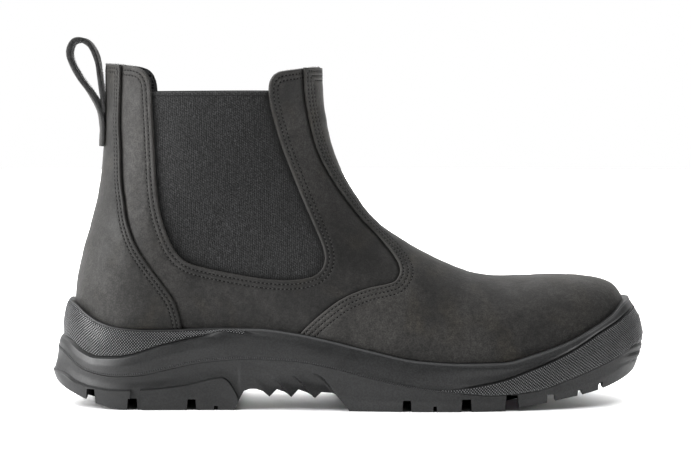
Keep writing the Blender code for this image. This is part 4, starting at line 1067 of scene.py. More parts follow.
def evenly(points, normals, pitch):
    """Points and directions at even steps along a line."""
    steps = np.linalg.norm(np.diff(points, axis=0), axis=1)
    way = np.concatenate([[0.0], np.cumsum(steps)])
    count = max(int(way[-1] / pitch), 1)
    at = (np.arange(count) + 0.5) * way[-1] / count
    p = np.stack([np.interp(at, way, points[:, k]) for k in range(3)], axis=1)
    n = np.stack([np.interp(at, way, normals[:, k]) for k in range(3)], axis=1)
    n /= np.linalg.norm(n, axis=1, keepdims=True)
    ahead = np.stack([np.interp(at + pitch / 4, way, points[:, k]) for k in range(3)], axis=1)
    behind = np.stack([np.interp(at - pitch / 4, way, points[:, k]) for k in range(3)], axis=1)
    along = ahead - behind
    along -= (along * n).sum(1, keepdims=True) * n
    along /= np.maximum(np.linalg.norm(along, axis=1, keepdims=True), 1e-9)
    return p, n, along


def sew(name, lines, thread, hole_shade, radius=STITCH_RADIUS, length=STITCH_LENGTH, pitch=STITCH_PITCH):
    """Rows of separate stitches, each a short thread that dives into its two needle holes."""
    points, faces, marks, mark_faces = [], [], [], []
    sides = 6
    for line, normals in lines:
        for n, (p, up, along) in enumerate(zip(*evenly(line, normals, pitch))):
            across = np.cross(up, along)
            lean = 0.10 * math.sin(12.9 * n + 4.1) * radius
            first = len(points)
            for t, lift, fat in ((-1.0, -0.9, 0.5), (-0.82, 0.0, 0.9), (-0.35, 0.62, 1.0), (0.35, 0.62, 1.0),
                                 (0.82, 0.0, 0.9), (1.0, -0.9, 0.5)):
                middle = p + along * t * length / 2 + up * lift * radius + across * lean
                for k in range(sides):
                    a = 2 * math.pi * k / sides
                    points.append(middle + (across * math.cos(a) + up * math.sin(a)) * radius * fat)
            for ring in range(5):
                for k in range(sides):
                    a, b = first + ring * sides + k, first + ring * sides + (k + 1) % sides
                    faces.append((a, b, b + sides, a + sides))
            faces.append(tuple(first + k for k in reversed(range(sides))))
            faces.append(tuple(first + 5 * sides + k for k in range(sides)))
            # At each end a dark disc paints the shade inside the needle's puncture.
            for end in (-1, 1):
                first = len(marks)
                middle = p + along * end * (length / 2 + 0.00012) + up * 0.00012
                marks.append(middle + up * 0.00001)
                for k in range(7):
                    a = 2 * math.pi * k / 7
                    marks.append(middle + along * math.cos(a) * radius * 1.8 + across * math.sin(a) * radius * 1.35)
                mark_faces += [(first, first + 1 + k, first + 1 + (k + 1) % 7) for k in range(7)]
    thread_piece = place(name, points, faces, [thread], angle=None)
    hole_piece = place(name + "_hole_shade_discs", marks, mark_faces, [hole_shade], angle=None)
    return [thread_piece, hole_piece]


def fibres(name, lines, look, length=0.0012, pitch=0.00042):
    """Short loose fibres that stand off a raw edge, from lines and the ways the fibres lean."""
    points, faces = [], []
    for line, lean in lines:
        for n, (p, up, along) in enumerate(zip(*evenly(line, lean, pitch))):
            across = np.cross(up, along)
            for m in range(2):
                k = 3.7 * n + 11.3 * m
                way = up + along * 0.9 * math.sin(1.7 * k) + across * 0.8 * math.sin(2.9 * k + 1.0)
                way /= np.linalg.norm(way)
                foot = p + along * pitch * 0.5 * math.sin(5.3 * k) - way * 0.0002
                tip = foot + way * (0.0002 + length * (0.25 + 0.75 * math.sin(4.3 * k + 2.0) ** 2))
                first = len(points)
                for turn in range(3):
                    a = 2 * math.pi * turn / 3
                    points.append(foot + (along * math.cos(a) + across * math.sin(a)) * 0.00012)
                points.append(tip)
                faces += [(first + a, first + b, first + 3) for a, b in ((0, 1), (1, 2), (2, 0))]
    return place(name, points, faces, [look], angle=None)


def leather_layers(forms, base, looks):
    """The upper, the vamp and the back strip with rounded edges, seams and stitches."""
    whole = base_sheet(forms)
    rim = rim_height(base)
    vamp_outline = smooth_outline(VAMP_EDGE, 1) + upper_outline(VAMP_FRONT)
    strip_outline = smooth_outline(STRIP_EDGE, 1)
    strip_outline += [(-0.2 * LAST_LENGTH, strip_outline[-1][1]), (-0.2 * LAST_LENGTH, strip_outline[0][1])]
    gore_outline = smooth_outline(GORE_EDGE, 3)
    leather_face = -(OVERLAY + GAP)
    made = []
    for name, outline, outside, thickness in (
        ("upper", gore_outline, leather_face, LEATHER),
        ("vamp", vamp_outline, 0.0, OVERLAY),
        ("back_strip", strip_outline, 0.0, OVERLAY),
    ):
        sheet = whole.copy()
        flat = sheet.points[:, (0, 2)]
        inside = inside_distance(flat, outline)
        if name == "upper":
            sheet.fields["outline"] = -inside
            # The opening's prisms leave the front and the back alone.
            sheet.fields["lap"] = np.maximum(inside_distance(flat, vamp_outline), inside_distance(flat, strip_outline))
        else:
            sheet.fields["outline"] = inside
            sheet.fields["foot"] = sheet.points[:, 2] - rim(sheet.points[:, 0]) - GAP
        sheet.trim("outline")
        if name == "upper":
            for level in (-0.0013, -0.0006, 0.0):
                sheet.cut("lap", level)
        else:
            sheet.trim("foot")
        measure_edges(sheet)
        # The upper is the largest piece, so it gets fewer lines and stays under 200,000 triangles.
        for level in (0.18, 0.45, 1.0) if name == "upper" else (0.04, 0.18, 0.45, 1.0, 1.6):
            sheet.cut("edge", level * EDGE_ROUND)
        for row in SEAM_ROWS[name]:
            for step in (-1.4, -0.6, 0.0, 0.6, 1.4) if name == "upper" else (-1.6, -0.9, -0.4, 0.0, 0.4, 0.9, 1.6):
                sheet.cut("edge", row + step * SEAM_WIDTH / 1.6)
        edge = sheet.fields["edge"]
        bumps = relief(sheet.points)
        outer = outside + bumps - drop_at(edge, EDGE_ROUND)
        # The field shade is painted shade: along each stitch row's dent and in the dip beside a lapping panel.
        shade = np.zeros(len(edge))
        for row in SEAM_ROWS[name]:
            dent = np.exp(-(((edge - row) / (0.5 * SEAM_WIDTH)) ** 2))
            outer -= SEAM_SINK * dent
            shade = np.maximum(shade, 0.5 * dent)
        # Between its rows the leather swells a little.
        rows = SEAM_ROWS[name]
        for a, b in zip(rows, rows[1:]):
            outer += 0.00012 * np.exp(-(((edge - (a + b) / 2) / (0.3 * (b - a))) ** 2))
        if name == "upper":
            lap = sheet.fields["lap"]
            dip = np.exp(-((np.minimum(lap, 0.0) / LAP_WIDTH) ** 2)) * (lap < 0.002)
            outer -= LAP_SINK * dip
            shade = np.maximum(shade, dip)
        sheet.fields["shade"] = shade
        inner = outside - thickness + bumps
        finishes = [looks["quarter"], looks["lining"]] if name == "upper" else [looks[name], looks["flesh"]]
        piece = shell(name + "_leather", sheet, outer, inner, finishes, split=1)
        made.append((piece, name))
        lines = [line for row in rows for line in row_lines(sheet, row, outer)]
        for found in sew(name + "_stitches", lines, looks["thread"], looks["hole_shade"]):
            made.append((found, None))
        if name != "vamp":
            raw = []
            for line, normals in row_lines(sheet, 0.18 * EDGE_ROUND, outer):
                high = np.flatnonzero(line[:, 2] > 0.153)
                for run in np.split(high, np.flatnonzero(np.diff(high) > 1) + 1):
                    if len(run) > 3:
                        raw.append((line[run], normals[run] * 0.4 + (0.0, 0.0, 1.0)))
            if raw:
                made.append((fibres(name + "_fibres", raw, looks["fibre"]), None))
    return made


def elastic_panels(forms, looks):
    """The two elastic gores: taut, with a folded band along the top."""
    inner_face = -(OVERLAY + GAP) - LEATHER
    outline = np.array(smooth_outline(GORE_EDGE, 3))
    top = float(height_at(GORE_TOP_LEVEL))
    made = []
    for side, word in ((-1, "lateral"), (1, "medial")):
        sheet = base_sheet(forms)
        inside = inside_distance(sheet.points[:, (0, 2)], outline)
        swing = swing_at(sheet.points[:, 0], sheet.points[:, 2])
        sheet.fields["side"] = side * (sheet.points[:, 1] - swing) - 0.004
        sheet.fields["reach"] = inside + GORE_OVERLAP
        sheet.fields["free"] = top - sheet.points[:, 2]
        for key in ("side", "reach", "free"):
            sheet.trim(key)
        for level in (0.04, 0.16, 0.4, 0.8, 1.2, 1.6, 2.0, 2.4, 3.0):
            sheet.cut("free", level / 1000)
        free = sheet.fields["free"]
        outer = inner_face - GAP + 0.4 * relief(sheet.points)
        fold = np.clip(free / ELASTIC_BAND, 0.0, 1.0)
        outer = outer + 0.00028 * np.sin(np.pi * fold) ** 0.6 - drop_at(free, ELASTIC * 0.45)
        outer -= 0.00018 * np.exp(-(((free - ELASTIC_BAND - 0.0003) / 0.0004) ** 2))
        inner = np.full(len(free), inner_face - GAP - ELASTIC) + drop_at(free, ELASTIC * 0.45)
        # The field shade is a painted shadow of the leather's edge on the elastic.
        sheet.fields["shade"] = np.exp(-((np.maximum(sheet.fields["reach"] - GORE_OVERLAP, 0) / 0.0016) ** 2))
        sheet.fields["edge"] = free
        made.append((shell(f"elastic_{word}", sheet, outer, inner, [looks["elastic"]]), f"gore_{word}"))
    return made


def blended(lines, count):
    """Lines of the sole on a smooth profile through the given ones."""
    flat = np.array(lines).reshape(len(lines), -1)
    return list(through(flat, count).reshape(count, -1, 3))


def ring_body(name, lines, materials):
    """A closed body of quads from lines that run round it."""
    count = len(lines[0])
    faces = []
    for k in range(len(lines) - 1):
        for i in range(count):
            j = (i + 1) % count
            faces.append((k * count + i, k * count + j, (k + 1) * count + j, (k + 1) * count + i))
    for first in (0, (len(lines) - 1) * count):
        for i in range(count // 2):
            a, b = i, i + 1
            c, d = (count - b) % count, (count - a) % count
            faces.append(tuple(dict.fromkeys((first + a, first + b, first + c, first + d))))
    return place(name, np.vstack(lines), faces, materials, merge=1e-6)


def cutter(made):
    made.hide_render = True
    made.hide_viewport = False
    return made


def fine_midsole(forms, base, looks, temporary):
    """The midsole with a thin rounded lip, a recessed band under it at heel and toe and a crisp step out
    again below, hollowed for the foot."""
    rim, lip, band, over, under, wall, *joint = midsole_lines(base)
    _, outward, stations = base
    out = np.column_stack([outward, np.zeros(len(outward))])
    up = np.array((0.0, 0.0, 1.0))
    heel = (smooth_curve(STEP_SHARE)(stations) * (stations < 0.5))[:, None]
    toe = (ramp(stations, 0.640, 0.705) * (stations >= 0.5))[:, None]
    crown = [rim - out * 0.0010 + up * 0.0001, rim - out * 0.0004 + up * 0.0003, rim + out * 0.0001 + up * 0.0001,
             rim + out * 0.0003 - up * 0.0003, rim * 0.80 + lip * 0.20]
    inset = rim * 0.70 + lip * 0.30 - out * 0.0005 * heel
    band = band + (lip * 0.45 + over * 0.55 - band) * toe
    over = over - out * 0.0002 * heel + out * 0.0003 * toe
    under = under + out * 0.0002 * heel - out * 0.0008 * toe
    wall = wall - out * 0.0003 * toe
    upper = blended(crown, 9)
    recess = blended([inset, lip - out * 0.0003 * heel, band, over], 22)
    fold = [over * 0.90 + under * 0.10 - out * (0.0008 * heel + 0.0013 * toe),
            over * 0.05 + under * 0.95 - out * (0.0009 * heel + 0.0013 * toe)]
    lower = blended([under - up * 0.0002, wall * 0.6 + under * 0.4 + out * 0.0001 * heel, wall, joint[0]], 14)
    side = np.array(upper + recess + fold + lower)
    # Where the step fades out, the side becomes one smooth wall.
    plain = 1 - (heel + toe)[:, 0]
    for _ in range(60):
        side[7:-1] += (0.5 * plain)[None, :, None] * ((side[6:-2] + side[8:]) / 2 - side[7:-1])
    midsole = ring_body("midsole_body", list(side) + joint[1:], [looks["midsole"]])
    soften = midsole.modifiers.new("soften", "BEVEL")
    soften.width, soften.segments, soften.limit_method, soften.angle_limit = 0.00025, 2, "ANGLE", math.radians(34)
    soften.use_clamp_overlap = True
    leather_face = -(OVERLAY + GAP)
    hollow = closed_form("foot_hollow", forms, leather_face + GAP, GAP, temporary)
    boolean(midsole, hollow, "DIFFERENCE")
    # A painted highlight along the rim's lip, faint round the heel.
    share = 0.12 + 0.88 * ramp(stations, 0.24, 0.30)
    paint_highlight_along(midsole, rim + out * 0.0004 - up * 0.0003 + FRAME_SHIFT, 0.0002, 0.0007, share)
    return midsole, side[9:31], side[33:]


def paint_highlight_along(made, line, near, far, share):
    """Marks the points of a piece that lie along a line, for a painted highlight in its material."""
    tree = KDTree(8 * len(line))
    for k in range(8):
        for i, p in enumerate(line * (1 - k / 8) + np.roll(line, -1, axis=0) * (k / 8)):
            tree.insert(Vector(p), 8 * i + k)
    tree.balance()
    mesh = made.data
    painted_highlight = mesh.attributes.new("painted_highlight", "FLOAT", "POINT")
    found = [tree.find(v.co) for v in mesh.vertices]
    values = [share[i // 8] * min(1.0, 1 - (d - near) / (far - near)) for _, i, d in found]
    painted_highlight.data.foreach_set("value", np.maximum(values, 0.0))


def knurls(name, lines, start, end, margin, looks):
    """Rows of small pyramids on a band of the sole's side, between two of its lines. start and end are
    the shares of LAST_LENGTH where the band begins and ends."""
    count = lines.shape[1]
    middle = lines[len(lines) // 2]
    steps = np.linalg.norm(np.roll(middle, -1, axis=0) - middle, axis=1)
    way = np.concatenate([[0.0], np.cumsum(steps)])
    total = way[-1]
    closed = np.concatenate([lines, lines[:, :1]], axis=1)
    risen = np.cumsum(np.linalg.norm(np.diff(closed, axis=0), axis=2), axis=0)
    heights = np.concatenate([np.zeros((1, count + 1)), risen])
    shares = closed[len(lines) // 2, :, 0] / LAST_LENGTH

    def at(u, v):
        u = u % total
        i = min(int(np.searchsorted(way, u, side="right")) - 1, count - 1)
        t = (u - way[i]) / max(steps[i], 1e-12)
        column = closed[:, i] * (1 - t) + closed[:, i + 1] * t
        rise = heights[:, i] * (1 - t) + heights[:, i + 1] * t
        share = shares[i] * (1 - t) + shares[i + 1] * t
        k = min(max(int(np.searchsorted(rise, v, side="right")) - 1, 0), len(rise) - 2)
        s = min(max((v - rise[k]) / max(rise[k + 1] - rise[k], 1e-12), 0.0), 1.0)
        return column[k] * (1 - s) + column[k + 1] * s, rise[-1], share

    points, faces = [], []
    half = KNURL_PITCH * 0.5
    tall = half * 1.08
    columns = int(total / KNURL_PITCH)
    pitch = total / columns
    for row in range(40):
        v = margin + tall * (0.5 + row)
        for column in range(columns):
            u = (column + 0.5 * (row % 2)) * pitch
            centre, height, share = at(u, v)
            if v > height - 0.4 * tall or height < 1.2 * tall or not start <= share <= end:
                continue
            corners = [at(u + du, v + dv)[0] for du, dv in ((half, 0), (0, tall), (-half, 0), (0, -tall))]
            normal = np.cross(corners[1] - corners[3], corners[0] - corners[2])
            normal /= max(np.linalg.norm(normal), 1e-12)
            outward = centre - np.array((np.clip(centre[0], 0.03, LAST_LENGTH - 0.04), 0.0, centre[2]))
            if (normal * outward).sum() < 0:
                normal = -normal
            first = len(points)
            sink = normal * 0.00006
            points += [c - sink for c in corners]
            points += [centre * 0.46 + c * 0.54 + normal * KNURL_HEIGHT for c in corners]
            for k in range(4):
                n = (k + 1) % 4
                faces.append((first + k, first + n, first + 4 + n, first + 4 + k))
            faces.append((first + 4, first + 5, first + 6, first + 7))
    made = place(name, points, faces, [looks["knurl"]], angle=20)
    # The pyramids' tops carry a painted highlight.
    tip_highlight = made.data.attributes.new("painted_highlight", "FLOAT", "POINT")
    tip_highlight.data.foreach_set("value", np.tile([0.0] * 4 + [1.0] * 4, len(points) // 8))
    return made


def serration(lines, looks):
    """A row of fine teeth along the parting line, on the midsole's lower edge."""
    line, above = lines[-1] + (lines[-3] - lines[-1]) * 0.4, lines[-3]
    closed, tops = np.vstack([line, line[:1]]), np.vstack([above, above[:1]])
    rise_at = tops - closed
    rise_at /= np.maximum(np.linalg.norm(rise_at, axis=1, keepdims=True), 1e-9)
    points, faces = [], []
    for p, rise, along in zip(*evenly(closed, rise_at, 0.00115)):
        n = np.cross(along, rise)
        n *= np.sign(n @ (p - (np.clip(p[0], 0.03, LAST_LENGTH - 0.04), 0.0, p[2]))) or 1.0
        first = len(points)
        for a, b in ((-1, -1), (1, -1), (1, 1), (-1, 1)):
            points.append(p + along * a * 0.00044 + rise * b * 0.00045 - n * 0.0001)
        for a, b in ((-1, -1), (1, -1), (1, 1), (-1, 1)):
            points.append(p + along * a * 0.00016 + rise * b * 0.00020 + n * 0.00035)
        faces += [(first + k, first + (k + 1) % 4, first + 4 + (k + 1) % 4, first + 4 + k) for k in range(4)]
        faces.append((first + 4, first + 5, first + 6, first + 7))
    made = place("parting_teeth", points, faces, [looks["midsole"]], angle=20)
    # The teeth's tops carry a painted highlight.
    tip_highlight = made.data.attributes.new("painted_highlight", "FLOAT", "POINT")
    tip_highlight.data.foreach_set("value", np.tile([0.0] * 4 + [0.7] * 4, len(points) // 8))
    return made


def crest_at(blade, rise):
    """Where a blade's crest stands, as share of LAST_LENGTH, at a height as share of HEEL_SEAT."""
    tip, low, end, high, _ = blade
    t = np.clip((rise - low) / (high - low), 0.0, 1.0)
    return tip + (end - tip) * (1 - np.sqrt(1 - t)) ** 0.9 - 0.02 * np.minimum(rise - low, 0.0)


def flute_depth(points):
    """How far the sole's side is scooped out between the arch's blades."""
    share, rise = points[:, 0] / LAST_LENGTH, points[:, 2] / HEEL_SEAT
    depth = np.zeros(len(points))
    for blade, after in zip(BLADES, BLADES[1:]):
        start, end = crest_at(blade, rise), crest_at(after, rise)
        t = (share - start) / np.maximum(end - start, 1e-4)
        fade = (1 - ramp(rise, blade[3] - 0.30, blade[3] + 0.02)) * ramp(rise, -0.35, 0.10)
        shape = np.clip(t, 0, 1) ** 0.9 * np.clip((1 - t) / 0.12, 0.0, 1.0) ** 0.8
        inside = (t > 0) & (t < 1)
        depth += np.where(inside, shape * blade[4] * fade * 1.25, 0.0)
    return depth


def fine_outsole(base, looks, tread_cutters):
    """The outsole with its tread and arch, its side blocks raised and its flutes scooped out."""
    tread, under, over, *joint = outsole_lines(base)
    _, outward, stations = base
    out = np.column_stack([outward, np.zeros(len(outward))])
    rear = (1 - ramp(stations, 0.0, 0.035))[:, None]
    under = under - out * 0.0007 * rear
    tread = tread + out * 0.0004 * rear
    raised = smooth_curve(LUG_SHARE)(stations)[:, None]
    top = over + (under - over) * 0.35 - out * 0.0005 * raised
    face = blended([tread, under * 0.55 + tread * 0.45 + out * 0.0003 * raised, under + out * 0.0003 * raised], 8)
    side = face + [top] + blended([over, (over + joint[0]) / 2 - out * 0.0004 * raised, joint[0]], 20)
    front = ramp(stations, 0.955, 0.985)
    lines = []
    for line in side:
        rib = np.clip(np.cos((line[:, 2] - 0.0215) * 2 * np.pi / 0.0040), 0.0, 1.0) ** 2
        rib *= front * ramp(line[:, 2], 0.0175, 0.0195) * (1 - ramp(line[:, 2], 0.0315, 0.0325))
        lines.append(line - out * (flute_depth(line) + 0.0009 * rib)[:, None])
    outsole = ring_body("outsole_body", lines + joint[1:], [looks["outsole"]])
    arch = [(share * LAST_LENGTH, rise * HEEL_SEAT) for share, rise in ARCH]
    side_prism("arch_hollow", arch, -BALL_WIDTH, BALL_WIDTH, tread_cutters)
    add_tread(tread_cutters)
    boolean_all(outsole, tread_cutters, "DIFFERENCE")
    soften = outsole.modifiers.new("soften", "BEVEL")
    soften.width, soften.segments, soften.limit_method, soften.angle_limit = 0.0004, 2, "ANGLE", math.radians(38)
    soften.use_clamp_overlap = True
    return outsole


def fine_insole(forms, temporary):
    """The insole, cut from the last's form by the seat's slab."""
    inner_face = -(OVERLAY + GAP) - LEATHER
    insole = closed_form("insole_board", forms, inner_face - GAP, 0.0, temporary)
    boolean(insole, insole_slab(temporary), "INTERSECT")
    return insole


def loop_course():
    """The pull loop's middle line, seen from the side, and the way square to it at each of its points."""
    line = through(LOOP_LINE, LOOP_STATIONS) * COLLAR_HEIGHT
    back = np.array([float(back_share(min(float(level_of(z)), 2.0))) for _, z in line]) * LAST_LENGTH
    middle = np.column_stack([back - line[:, 0], line[:, 1]])
    along = np.gradient(middle, axis=0)
    along /= np.linalg.norm(along, axis=1, keepdims=True)
    return middle, np.stack([-along[:, 1], along[:, 0]], axis=1)


def loop_shift(y, z):
    """How far the strap lies forward of its middle line, as it wraps round the shaft's back."""
    held = 1 - ramp(z, 0.86 * COLLAR_HEIGHT, 1.04 * COLLAR_HEIGHT)
    round_back = LAST_LENGTH * BACK_ROUND[1] * (1 - math.sqrt(1 - (2 * y / COLLAR_WIDTH) ** 2))
    return round_back * (0.25 + 0.75 * held)


def fine_loop(looks):
    """The pull loop: a soft strap with rounded, slightly uneven edges, grain outside and flesh inside."""
    count, slices = LOOP_STATIONS, 15
    middle, side = loop_course()
    across = np.sin(np.linspace(-np.pi / 2, np.pi / 2, slices))
    outer, inner = [], []
    for n, ((x, z), (sx, sz)) in enumerate(zip(middle, side)):
        ragged = 0.00022 * math.sin(1.9 * n) * math.sin(0.83 * n + 1.0) + 0.00012 * math.sin(4.7 * n)
        for k, t in enumerate(across):
            y = t * (LOOP_WIDTH / 2 - 0.00025 + ragged * (1 if t > 0 else -0.8))
            shift = loop_shift(y, z)
            wave = 0.00018 * math.sin(0.11 * n + 2.1 * t) + 0.00010 * math.sin(0.37 * n - 3.0 * t)
            thick = LOOP_THICKNESS / 2 * (0.35 + 0.65 * math.sqrt(max(0.0, 1 - t**6)))
            cx, cz = x + shift + sx * wave, z + sz * wave
            swell = LOOP_SWELL * math.sin(math.pi * n / (count - 1)) ** 2
            outer.append((cx + sx * thick, y, cz + sz * thick))
            inner.append((cx - sx * (thick + swell), y, cz - sz * (thick + swell)))
    total = count * slices
    faces, flesh = [], []
    for n in range(count - 1):
        for k in range(slices - 1):
            a = n * slices + k
            faces.append((a, a + 1, a + slices + 1, a + slices))
            flesh.append(0)
            faces.append((total + a, total + a + slices, total + a + slices + 1, total + a + 1))
            flesh.append(1)
    for n in range(count - 1):
        for k in (0, slices - 1):
            a, b = n * slices + k, (n + 1) * slices + k
            faces.append((a, b, b + total, a + total) if k == 0 else (b, a, a + total, b + total))
            flesh.append(1)
    for n in (0, count - 1):
        for k in range(slices - 1):
            a = n * slices + k
            faces.append((a + 1, a, a + total, a + 1 + total) if n == 0 else (a, a + 1, a + 1 + total, a + total))
            flesh.append(1)
    made = place("pull_loop_strap", outer + inner, faces, [looks["strap"], looks["flesh"]], angle=50)
    made.data.polygons.foreach_set("material_index", flesh)
    shape = bmesh.new()
    shape.from_mesh(made.data)
    bmesh.ops.recalc_face_normals(shape, faces=shape.faces)
    shape.to_mesh(made.data)
    shape.free()
    return made


def loop_fuzz(looks):
    """Loose fibres along the cut edges of the pull loop."""
    count = LOOP_STATIONS
    middle, flat_side = loop_course()
    side = np.column_stack([flat_side[:, 0], np.zeros(count), flat_side[:, 1]])
    half = LOOP_WIDTH / 2 - 0.0004
    shift = loop_shift(half, middle[:, 1])
    swell = (LOOP_SWELL * np.sin(math.pi * np.arange(count) / (count - 1)) ** 2)[:, None]
    lines = []
    for y in (-1, 1):
        edge = np.column_stack([middle[:, 0] + shift, np.full(count, y * half), middle[:, 1]])
        lines.append((edge + side * LOOP_THICKNESS * 0.35, side))
        lines.append((edge - side * (LOOP_THICKNESS * 0.35 + swell), -side))
    return fibres("pull_loop_fibres", lines, looks["flesh"], 0.0007, 0.00036)


def paint_notch_shade(outsole):
    """Write how deep each corner of the outsole lies inside a notch, for the painted shade that darkens it there."""
    edge_x, edge_half = bottom_edge()
    mesh = outsole.data
    spots = np.empty(len(mesh.vertices) * 3)
    mesh.vertices.foreach_get("co", spots)
    own = spots.reshape(-1, 3) - FRAME_SHIFT
    shares = own[:, 0] / LAST_LENGTH
    off = np.abs(own[:, 1] - swing_share(shares) * BALL_WIDTH)
    inside = np.interp(own[:, 0], edge_x, edge_half) - off
    deep = ramp(inside, 0.0012, 0.0060)
    used = np.empty(len(mesh.loops), dtype=int)
    mesh.loops.foreach_get("vertex_index", used)
    normals = np.empty(len(mesh.polygons) * 3)
    mesh.polygons.foreach_get("normal", normals)
    corners = np.empty(len(mesh.polygons), dtype=int)
    mesh.polygons.foreach_get("loop_total", corners)
    level = np.repeat(normals.reshape(-1, 3)[:, 2], corners)
    # The tread's underside and what lies above the notches get no painted shade.
    marked = (np.abs(level) < 0.75) & (own[used, 2] < 0.03)
    values = np.where(marked, deep[used], 0.0)
    mark = mesh.attributes.new("hollow", "FLOAT", "CORNER")
    mark.data.foreach_set("value", values)


class Nodes:
    """Short hand for a material's node tree."""

    def __init__(self, name):
        self.material = bpy.data.materials.new(name)
        self.material.use_nodes = True
        self.tree = self.material.node_tree
        self.shader = self.tree.nodes["Principled BSDF"]
        self.place = self.add("ShaderNodeTexCoord").outputs["Object"]

    def add(self, kind, **settings):
        node = self.tree.nodes.new(kind)
        for key, value in settings.items():
            setattr(node, key, value)
        return node

    def link(self, source, target):
        if hasattr(source, "links"):
            self.tree.links.new(source, target)
        else:
            target.default_value = source
        return target

    def scaled(self, scale, turn=(0, 0, 0)):
        node = self.add("ShaderNodeMapping")
        node.inputs["Scale"].default_value = scale
        node.inputs["Rotation"].default_value = turn
        self.link(self.place, node.inputs["Vector"])
        return node.outputs["Vector"]

    def noise(self, scale, detail=3.0, roughness=0.5, distortion=0.0, vector=None):
        node = self.add("ShaderNodeTexNoise")
        node.inputs["Scale"].default_value = scale
        node.inputs["Detail"].default_value = detail
        node.inputs["Roughness"].default_value = roughness
        node.inputs["Distortion"].default_value = distortion
        self.link(vector or self.place, node.inputs["Vector"])
        return node.outputs["Fac"]

    def cells(self, scale, feature="F1", vector=None):
        node = self.add("ShaderNodeTexVoronoi", feature=feature)
        node.inputs["Scale"].default_value = scale
        self.link(vector or self.place, node.inputs["Vector"])
        return node.outputs["Distance"]

    def ramp(self, value, stops):
        node = self.add("ShaderNodeValToRGB")
        elements = node.color_ramp.elements
        while len(elements) < len(stops):
            elements.new(0.5)
        for element, (at, colour) in zip(elements, stops):
            element.position = at
            element.color = (*colour, 1.0) if hasattr(colour, "__len__") else (colour, colour, colour, 1.0)
        self.link(value, node.inputs["Fac"])
        return node.outputs["Color"]

    def math(self, operation, a, b=0.0, c=None):
        node = self.add("ShaderNodeMath", operation=operation)
        self.link(a, node.inputs[0])
        self.link(b, node.inputs[1])
        if c is not None:
            self.link(c, node.inputs[2])
        return node.outputs[0]

    def mix(self, factor, a, b, kind="MIX"):
        node = self.add("ShaderNodeMix", data_type="RGBA", blend_type=kind)
        self.link(factor, node.inputs["Factor"])
        colours = [s for s in node.inputs if s.type == "RGBA"]
        for socket, value in zip(colours, (a, b)):
            if hasattr(value, "links"):
                self.link(value, socket)
            else:
                socket.default_value = (*value, 1.0)
        return [s for s in node.outputs if s.type == "RGBA"][0]

    def field(self, name):
        return self.add("ShaderNodeAttribute", attribute_name=name).outputs["Fac"]

    def along(self, axis):
        split = self.add("ShaderNodeSeparateXYZ")
        self.link(self.place, split.inputs[0])
        return split.outputs[axis]

    def bump(self, *heights):
        before = None
        for height, strength, distance in heights:
            node = self.add("ShaderNodeBump")
            node.inputs["Strength"].default_value = strength
            node.inputs["Distance"].default_value = distance
            self.link(height, node.inputs["Height"])
            if before is not None:
                self.link(before, node.inputs["Normal"])
            before = node.outputs["Normal"]
        self.link(before, self.shader.inputs["Normal"])

    def finish(self, colour, roughness, **sockets):
        self.link(colour, self.shader.inputs["Base Color"])
        self.link(roughness, self.shader.inputs["Roughness"])
        for key, value in sockets.items():
            self.shader.inputs[key.replace("_", " ")].default_value = value
        return self.material


